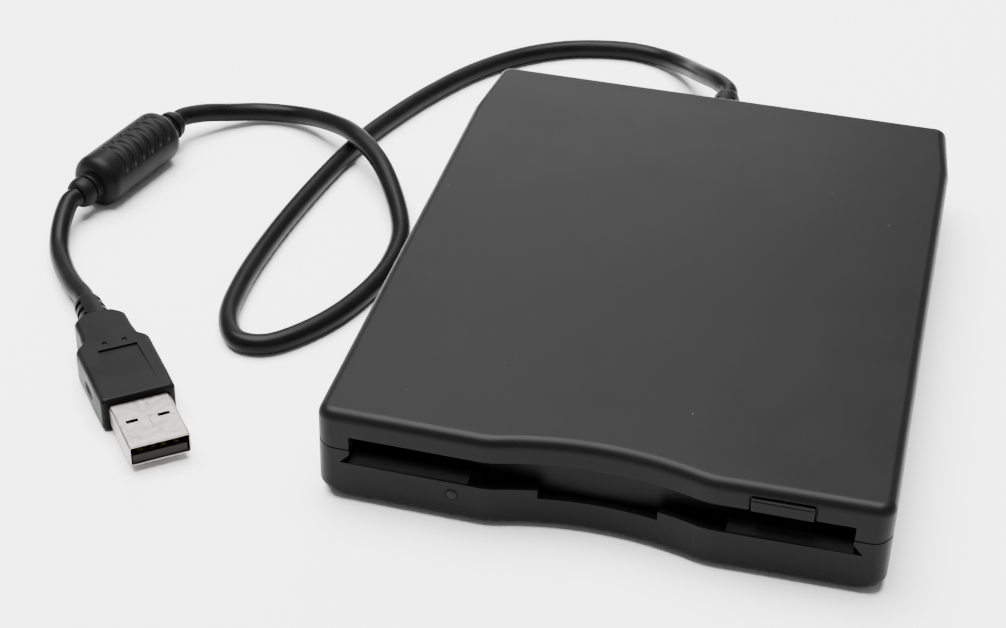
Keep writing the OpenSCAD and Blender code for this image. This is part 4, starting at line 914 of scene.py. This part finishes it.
class FLOPPY_OT_bead(bpy.types.Operator):
    """Builds the ferrite bead's sleeve: barrel, curved flutes and ringed necks"""

    bl_idname = "floppy.bead"
    bl_label = "Ferrite Bead"

    def execute(self, context):
        # the barrel's radius and half its length, its rounding, and the necks' radius
        radius, barrel, round_r, neck = 6.0, 13.25, 2.8, 3.4
        half = (Vector(BEAD_HIGH) - Vector(BEAD_LOW)).length / 2
        place = lying(BEAD_LOW, BEAD_HIGH, radius)
        # the flutes' places along the barrel, half their width, their depth, the middle of
        # their side as an angle, and how far round they reach from it
        flutes = [-6.3 + 3.1 * k for k in range(6)]
        flute_half, flute_depth, flute_side, flute_reach = 1.3, 1.1, -0.5, 0.75

        def depth_at(s, angle):
            """Depth of the flutes: bowed thumb-nail dents on one side, deepest at their ends"""
            turned = (angle - flute_side) / flute_reach
            bow = 1.3 * turned * turned - 0.5 * turned - 0.6
            near = min(abs(s + bow - f) for f in flutes)
            if abs(turned) > 1 or near > flute_half:
                return 0.0
            deep = (1 - turned ** 8) * (0.55 + 0.45 * turned * turned)
            return flute_depth * deep * (0.5 + 0.5 * math.cos(math.pi * near / flute_half))

        def build(mesh):
            steps = 120
            end = ((1.1, 0), (0.7, 0.2), (0.25, 0.9), (0, 1.9))
            ribs = ((0, 2.5), (0.6, 2.2), (0.6, 1.9), (0.1, 1.7), (0.1, 1.1), (0.6, 0.85),
                    (0.6, 0.5), (0.1, 0.2))
            necks = ([(neck - inset, s - half) for inset, s in end]
                     + [(neck - inset, -barrel - s) for inset, s in ribs])
            ball = [(radius - round_r * (1 - math.sin(a)), -barrel + round_r * (1 - math.cos(a)))
                    for a in quarter(10)]
            ball = [(r, s) for r, s in ball if r > neck - 0.2]
            straight = [(radius, s * 0.2) for s in range(int((-barrel + round_r) * 5) + 1, 0)]
            left = necks + ball + straight
            rings = []
            for r, s in left + [(radius, 0.0)] + [(r, -s) for r, s in left[::-1]]:
                ring = []
                for k in range(steps):
                    a = 2 * math.pi * k / steps
                    lean = math.atan2(math.cos(a), math.sin(a))
                    dent = depth_at(s, lean) if r > radius - 0.01 else 0.0
                    ring.append(place @ Vector((s, (r - dent) * math.cos(a),
                                                (r - dent) * math.sin(a))))
                rings.append(ring)
            add_rings(mesh, rings)

        add_piece("bead_sleeve", build, None, 0, "lead_rubber", nodes=["ferrite_bead"], smooth=50)
        return {"FINISHED"}


class FLOPPY_OT_relief(bpy.types.Operator):
    """Builds the slotted strain relief at the back of the case"""

    bl_idname = "floppy.relief"
    bl_label = "Case Strain Relief"

    def execute(self, context):
        body, inner = REAR_Y + 0.3, REAR_Y - WALL - 0.2

        def build(mesh):
            add_turned(mesh, [(4.3, inner - 1.2), (4.3, inner), (3.0, inner + 0.001), (3.0, body),
                              (4.0, body + 0.001), (4.0, body + 0.5), (3.7, body + 1.4),
                              (2.95, body + 2.4), (3.1, RELIEF_END - 1),
                              (2.95, RELIEF_END - 0.4), (2.6, RELIEF_END)],
                       rearward(0, RELIEF_Z), 56)

        def slots(mesh):
            for k in range(3):
                y = body + 3.4 + 2.2 * k
                for side in (-1, 1):
                    add_box(mesh, span(side, 1.5, 6), (y, y + 1.0), (RELIEF_Z - 5, RELIEF_Z + 5))

        add_piece("case_relief", build, slots, 0.00012, "lead_rubber", nodes=["strain_relief"])
        return {"FINISHED"}


# ---------- plug ----------

def rounded(points, radii):
    """A closed outline with its corners rounded, each to its own radius"""
    made = []
    for k, (p, r) in enumerate(zip(points, radii)):
        made += corner(points[k - 1], p, points[(k + 1) % len(points)], r, 6)
    return made


class FLOPPY_OT_plug(bpy.types.Operator):
    """Builds the plug: moulded grip, slotted strain relief and formed metal shell"""

    bl_idname = "floppy.plug"
    bl_label = "USB Plug"

    def execute(self, context):
        total = (Vector(PLUG_TIP) - Vector(PLUG_END)).length
        # X runs along the plug, with 0 at the front of its shell
        place = lying(PLUG_END, PLUG_TIP, 0.0) @ Matrix.Translation((total / 2, 0, 0))
        # the grip's height, half its width at the front and at the back, and its stations
        high, half, neck = 7.6, 7.5, 5.3
        front, shoulder, throat = -13.6, -33.6, -42.6
        # the metal shell: half its width, its two heights, its sheet and its corners
        shell_half, shell_z, sheet, shell_corner = 6.0, (1.55, 6.05), 0.3, 0.6

        def at(x, y, z):
            return place @ Vector((x, y, z))

        def block(mesh, x, y, z):
            """Box from its ranges, in the plug's own directions"""
            add_hull(mesh, [at(a, b, c) for a in x for b in y for c in z])

        def ball(mesh, x, y, z, size, steps):
            """Stretched ball, to press a hollow"""
            bmesh.ops.create_uvsphere(
                mesh, u_segments=steps[0], v_segments=steps[1], radius=1,
                matrix=place @ Matrix.Translation((x, y, z)) @ Matrix.Diagonal((*size, 1)))

        def grip(mesh):
            side = [(front, half - 0.1), (front - 6, half), (shoulder + 1.9, half),
                    (shoulder + 0.1, neck + 0.5), (shoulder - 3.2, neck + 0.1),
                    (throat + 1.7, neck), (throat, 3.6)]
            radii = [0.9, 4, 1.7, 1.3, 3, 1.4, 0.4]
            path = rounded(side + [(x, -y) for x, y in side[::-1]], radii + radii[::-1])
            round_z = 1.1
            low = [(round_z * (1 - math.sin(a)), round_z * (1 - math.cos(a)))
                   for a in quarter(6)[::-1]]
            rings = []
            for z, inset in low + [(high - z, inset) for z, inset in low[::-1]]:
                ring = []
                for p in path:
                    y = p.y - math.copysign(min(inset, abs(p.y) * 0.9), p.y)
                    x = p.x - (inset if p.x > front - 1.2 else 0) * 0.5
                    ring.append(at(x, y, z))
                rings.append(ring)
            add_rings(mesh, rings)

        def grip_cuts(mesh):
            block(mesh, (front - 2, front + 1), (-6.1, 6.1), (1.45, 6.15))
            for side in (-1, 1):
                # oval finger hollow in each side
                ball(mesh, -22.8, side * (half + 2.45), high / 2, (5.4, 3.0, 2.3), (40, 20))
            # pressed thumb panel, deepest at its back edge
            add_hull(mesh, [at(x, y, high + z) for x, ends, low in (
                (-29.6, (-3.5, 4.4), -0.42), (-16.1, (-4.6, 4.8), 0.02))
                for z in (low, 1) for y in ends])
            # two pips behind the panel
            for y in (-1.6, 2.4):
                ball(mesh, -31.6, y, high + 0.1, (0.55,) * 3, (20, 12))

        def boot(mesh):
            add_turned(mesh, [(2.3, -total), (2.75, -total + 0.35), (2.9, -total + 0.9),
                              (3.45, throat - 1.0), (3.5, throat + 1.5)],
                       place @ Matrix.Translation((0, 0, high / 2)), 48)

        def boot_cuts(mesh):
            for k in range(3):
                s = throat - 1.5 - 2.5 * k
                for side in (-1, 1):
                    block(mesh, (s - 0.6, s + 0.6), (side * 1.7, side * 6), (-4, 12))

        def shell(mesh):
            rings = []
            for s, inset in ((front - 2, 0), (-1.35, 0), (-1.25, 0.1), (-1.1, 0.1), (-1.0, 0.02),
                             (-0.15, 0.03), (0, 0.14), (-0.02, sheet), (-0.8, sheet),
                             (front - 2, sheet)):
                r = max(0.25, shell_corner - inset)
                y, a, b = shell_half - inset, shell_z[0] + inset, shell_z[1] - inset
                ring = []
                for cy, cz, start in ((y - r, b - r, 0), (-y + r, b - r, 90),
                                      (-y + r, a + r, 180), (y - r, a + r, 270)):
                    for t in (math.radians(start + 15 * k) for k in range(7)):
                        ring.append(at(s, cy + r * math.cos(t), cz + r * math.sin(t)))
                rings.append(ring)
            rows = add_rings(mesh, rings, closed=False)
            first, last = rows[0], rows[-1]
            for j, k in enumerate([*range(1, len(first)), 0]):
                mesh.faces.new((first[j], last[j], last[k], first[k]))

        def shell_cuts(mesh):
            # two latch holes above and two below, then the sheet's joint
            for y in ((-4.3, -1.9), (1.9, 4.3)):
                for z in (1.0, 5.5):
                    block(mesh, (-8.2, -7.2), y, (z, z + 1.1))
            block(mesh, (front - 1, -4.2), (0.14, 0.24), (5.95, 6.3))

        add_piece("plug_grip", grip, grip_cuts, 0.00015, "lead_rubber", nodes=["plug_body"])
        add_piece("plug_boot", boot, boot_cuts, 0.00015, "lead_rubber")
        add_piece("plug_sheet", shell, shell_cuts, 0.00006, "nickel_plate", nodes=["plug_shell"],
                  angle=40)
        return {"FINISHED"}


# ---------- everything else ----------

class FLOPPY_OT_mechanism(bpy.types.Operator):
    """Gives every solid that stays as it is its finish, and gives the eject springs a mesh of their
    own
    """

    bl_idname = "floppy.mechanism"
    bl_label = "Mechanism and Boards"

    def execute(self, context):
        slots = {s["node"]: s["material_slot"] for s in frame["record"]["subparts"]}
        stood_for = {n for o in bpy.data.objects for n in o.get("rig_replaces", [])}
        for node, solid in frame["nodes"].items():
            if node in stood_for:
                continue
            solid.data.materials.clear()
            solid.data.materials.append(finish_of(slots[node]))
        springs = frame["nodes"]["eject_springs"]
        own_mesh(springs)
        return {"FINISHED"}


# ---------- studio ----------

def camera_matrix():
    """The photograph's camera, solved against the case and the plug"""
    place = (0.048958, -0.353422, 0.2588)
    yaw, pitch, roll = (math.radians(a) for a in (-13.1208, 35.5734, 1.6106))
    ahead = Vector((math.sin(yaw) * math.cos(pitch), math.cos(yaw) * math.cos(pitch),
                    -math.sin(pitch)))
    level = Vector((math.cos(yaw), -math.sin(yaw), 0))
    above = level.cross(ahead)
    right = math.cos(roll) * level + math.sin(roll) * above
    up = -math.sin(roll) * level + math.cos(roll) * above
    turn = Matrix((right, up, -ahead)).transposed().to_4x4()
    return Matrix.Translation(place) @ turn


def soft_light(name, power, size, place):
    """Square soft light at a place, turned to the drive"""
    data = bpy.data.lights.new(name, "AREA")
    data.energy, data.size, data.shape = power, size, "SQUARE"
    lamp = bpy.data.objects.new(name, data)
    lamp.location = place
    lamp.rotation_euler = (-Vector(place)).to_track_quat("-Z", "Y").to_euler()
    bpy.context.scene.collection.objects.link(lamp)


class FLOPPY_OT_camera(bpy.types.Operator):
    """Sets the camera at the photograph's angle"""

    bl_idname = "floppy.camera"
    bl_label = "Camera"

    def execute(self, context):
        data = bpy.data.cameras.new("camera")
        data.lens, data.sensor_width = context.scene.floppy_studio.lens, 36
        data.clip_start, data.clip_end = 0.01, 20
        camera = bpy.data.objects.new("camera", data)
        camera.matrix_world = camera_matrix()
        context.scene.collection.objects.link(camera)
        context.scene.camera = camera
        return {"FINISHED"}


class FLOPPY_OT_studio(bpy.types.Operator):
    """Sets the plain floor and the soft lights"""

    bl_idname = "floppy.studio"
    bl_label = "Studio"

    def execute(self, context):
        look = context.scene.floppy_studio
        reach, thick = 4000, 20

        def sweep(mesh):
            add_box(mesh, (-reach, reach), (-reach, reach), (-thick, 0))

        floor = new_object("studio_floor", sweep)
        pale = (look.floor,) * 3
        paper = Finish("finish_floor", pale, 0.9)
        paper.set("Base Color", paper.mottle(paper.noise(0.3, 2), pale, 1, 0.985))
        floor.data.materials.append(paper.material)
        soft_light("light_top", look.key, 1.5, (-0.3, 0.26, 1.6))
        soft_light("light_back", look.back, 0.7, (-0.34, 1.5, 0.62))
        world = bpy.data.worlds.new("studio_air")
        world.use_nodes = True
        air = world.node_tree.nodes["Background"]
        air.inputs["Color"].default_value = (1, 1, 1, 1)
        air.inputs["Strength"].default_value = look.world
        context.scene.world = world
        return {"FINISHED"}


class FLOPPY_PT_pieces(bpy.types.Panel):
    """Lists the drive's sizes and pieces"""

    bl_idname = "FLOPPY_PT_pieces"
    bl_label = "Floppy Drive"
    bl_space_type = "VIEW_3D"
    bl_region_type = "UI"
    bl_category = "Floppy Drive"

    def draw(self, context):
        scene = context.scene
        for title, look in (("Case", scene.floppy_case), ("Lead", scene.floppy_lead),
                            ("Studio", scene.floppy_studio)):
            box = self.layout.box()
            box.label(text=title)
            for key in look.__annotations__:
                box.prop(look, key)
        for step in STEPS:
            self.layout.operator(step.bl_idname)


STEPS = (FLOPPY_OT_camera, FLOPPY_OT_lead, FLOPPY_OT_top_cover, FLOPPY_OT_bottom_case,
         FLOPPY_OT_front_pieces, FLOPPY_OT_bead, FLOPPY_OT_relief, FLOPPY_OT_plug,
         FLOPPY_OT_mechanism, FLOPPY_OT_studio)
LOOKS = {"floppy_case": CaseLook, "floppy_lead": LeadLook, "floppy_studio": StudioLook}
CLASSES = (*LOOKS.values(), *STEPS, FLOPPY_PT_pieces)


def register():
    for kind in CLASSES:
        bpy.utils.register_class(kind)
    for name, kind in LOOKS.items():
        setattr(bpy.types.Scene, name, bpy.props.PointerProperty(type=kind))


def unregister():
    for name in LOOKS:
        delattr(bpy.types.Scene, name)
    for kind in reversed(CLASSES):
        bpy.utils.unregister_class(kind)


def declare_leads():
    """Works out the lengths of the two free stretches' smoothed paths, and keeps them nowhere"""
    long_path, tail_path = smooth_route(LEAD_ROUTE), smooth_route(TAIL_ROUTE)
    route_length(long_path)
    route_length(tail_path)


def main():
    register()
    bpy.ops.floppy.camera()
    bpy.ops.floppy.lead()
    bpy.ops.floppy.top_cover()
    bpy.ops.floppy.bottom_case()
    bpy.ops.floppy.front_pieces()
    bpy.ops.floppy.bead()
    bpy.ops.floppy.relief()
    bpy.ops.floppy.plug()
    bpy.ops.floppy.mechanism()
    bpy.ops.floppy.studio()
    declare_leads()


if __name__ == "__main__":
    main()
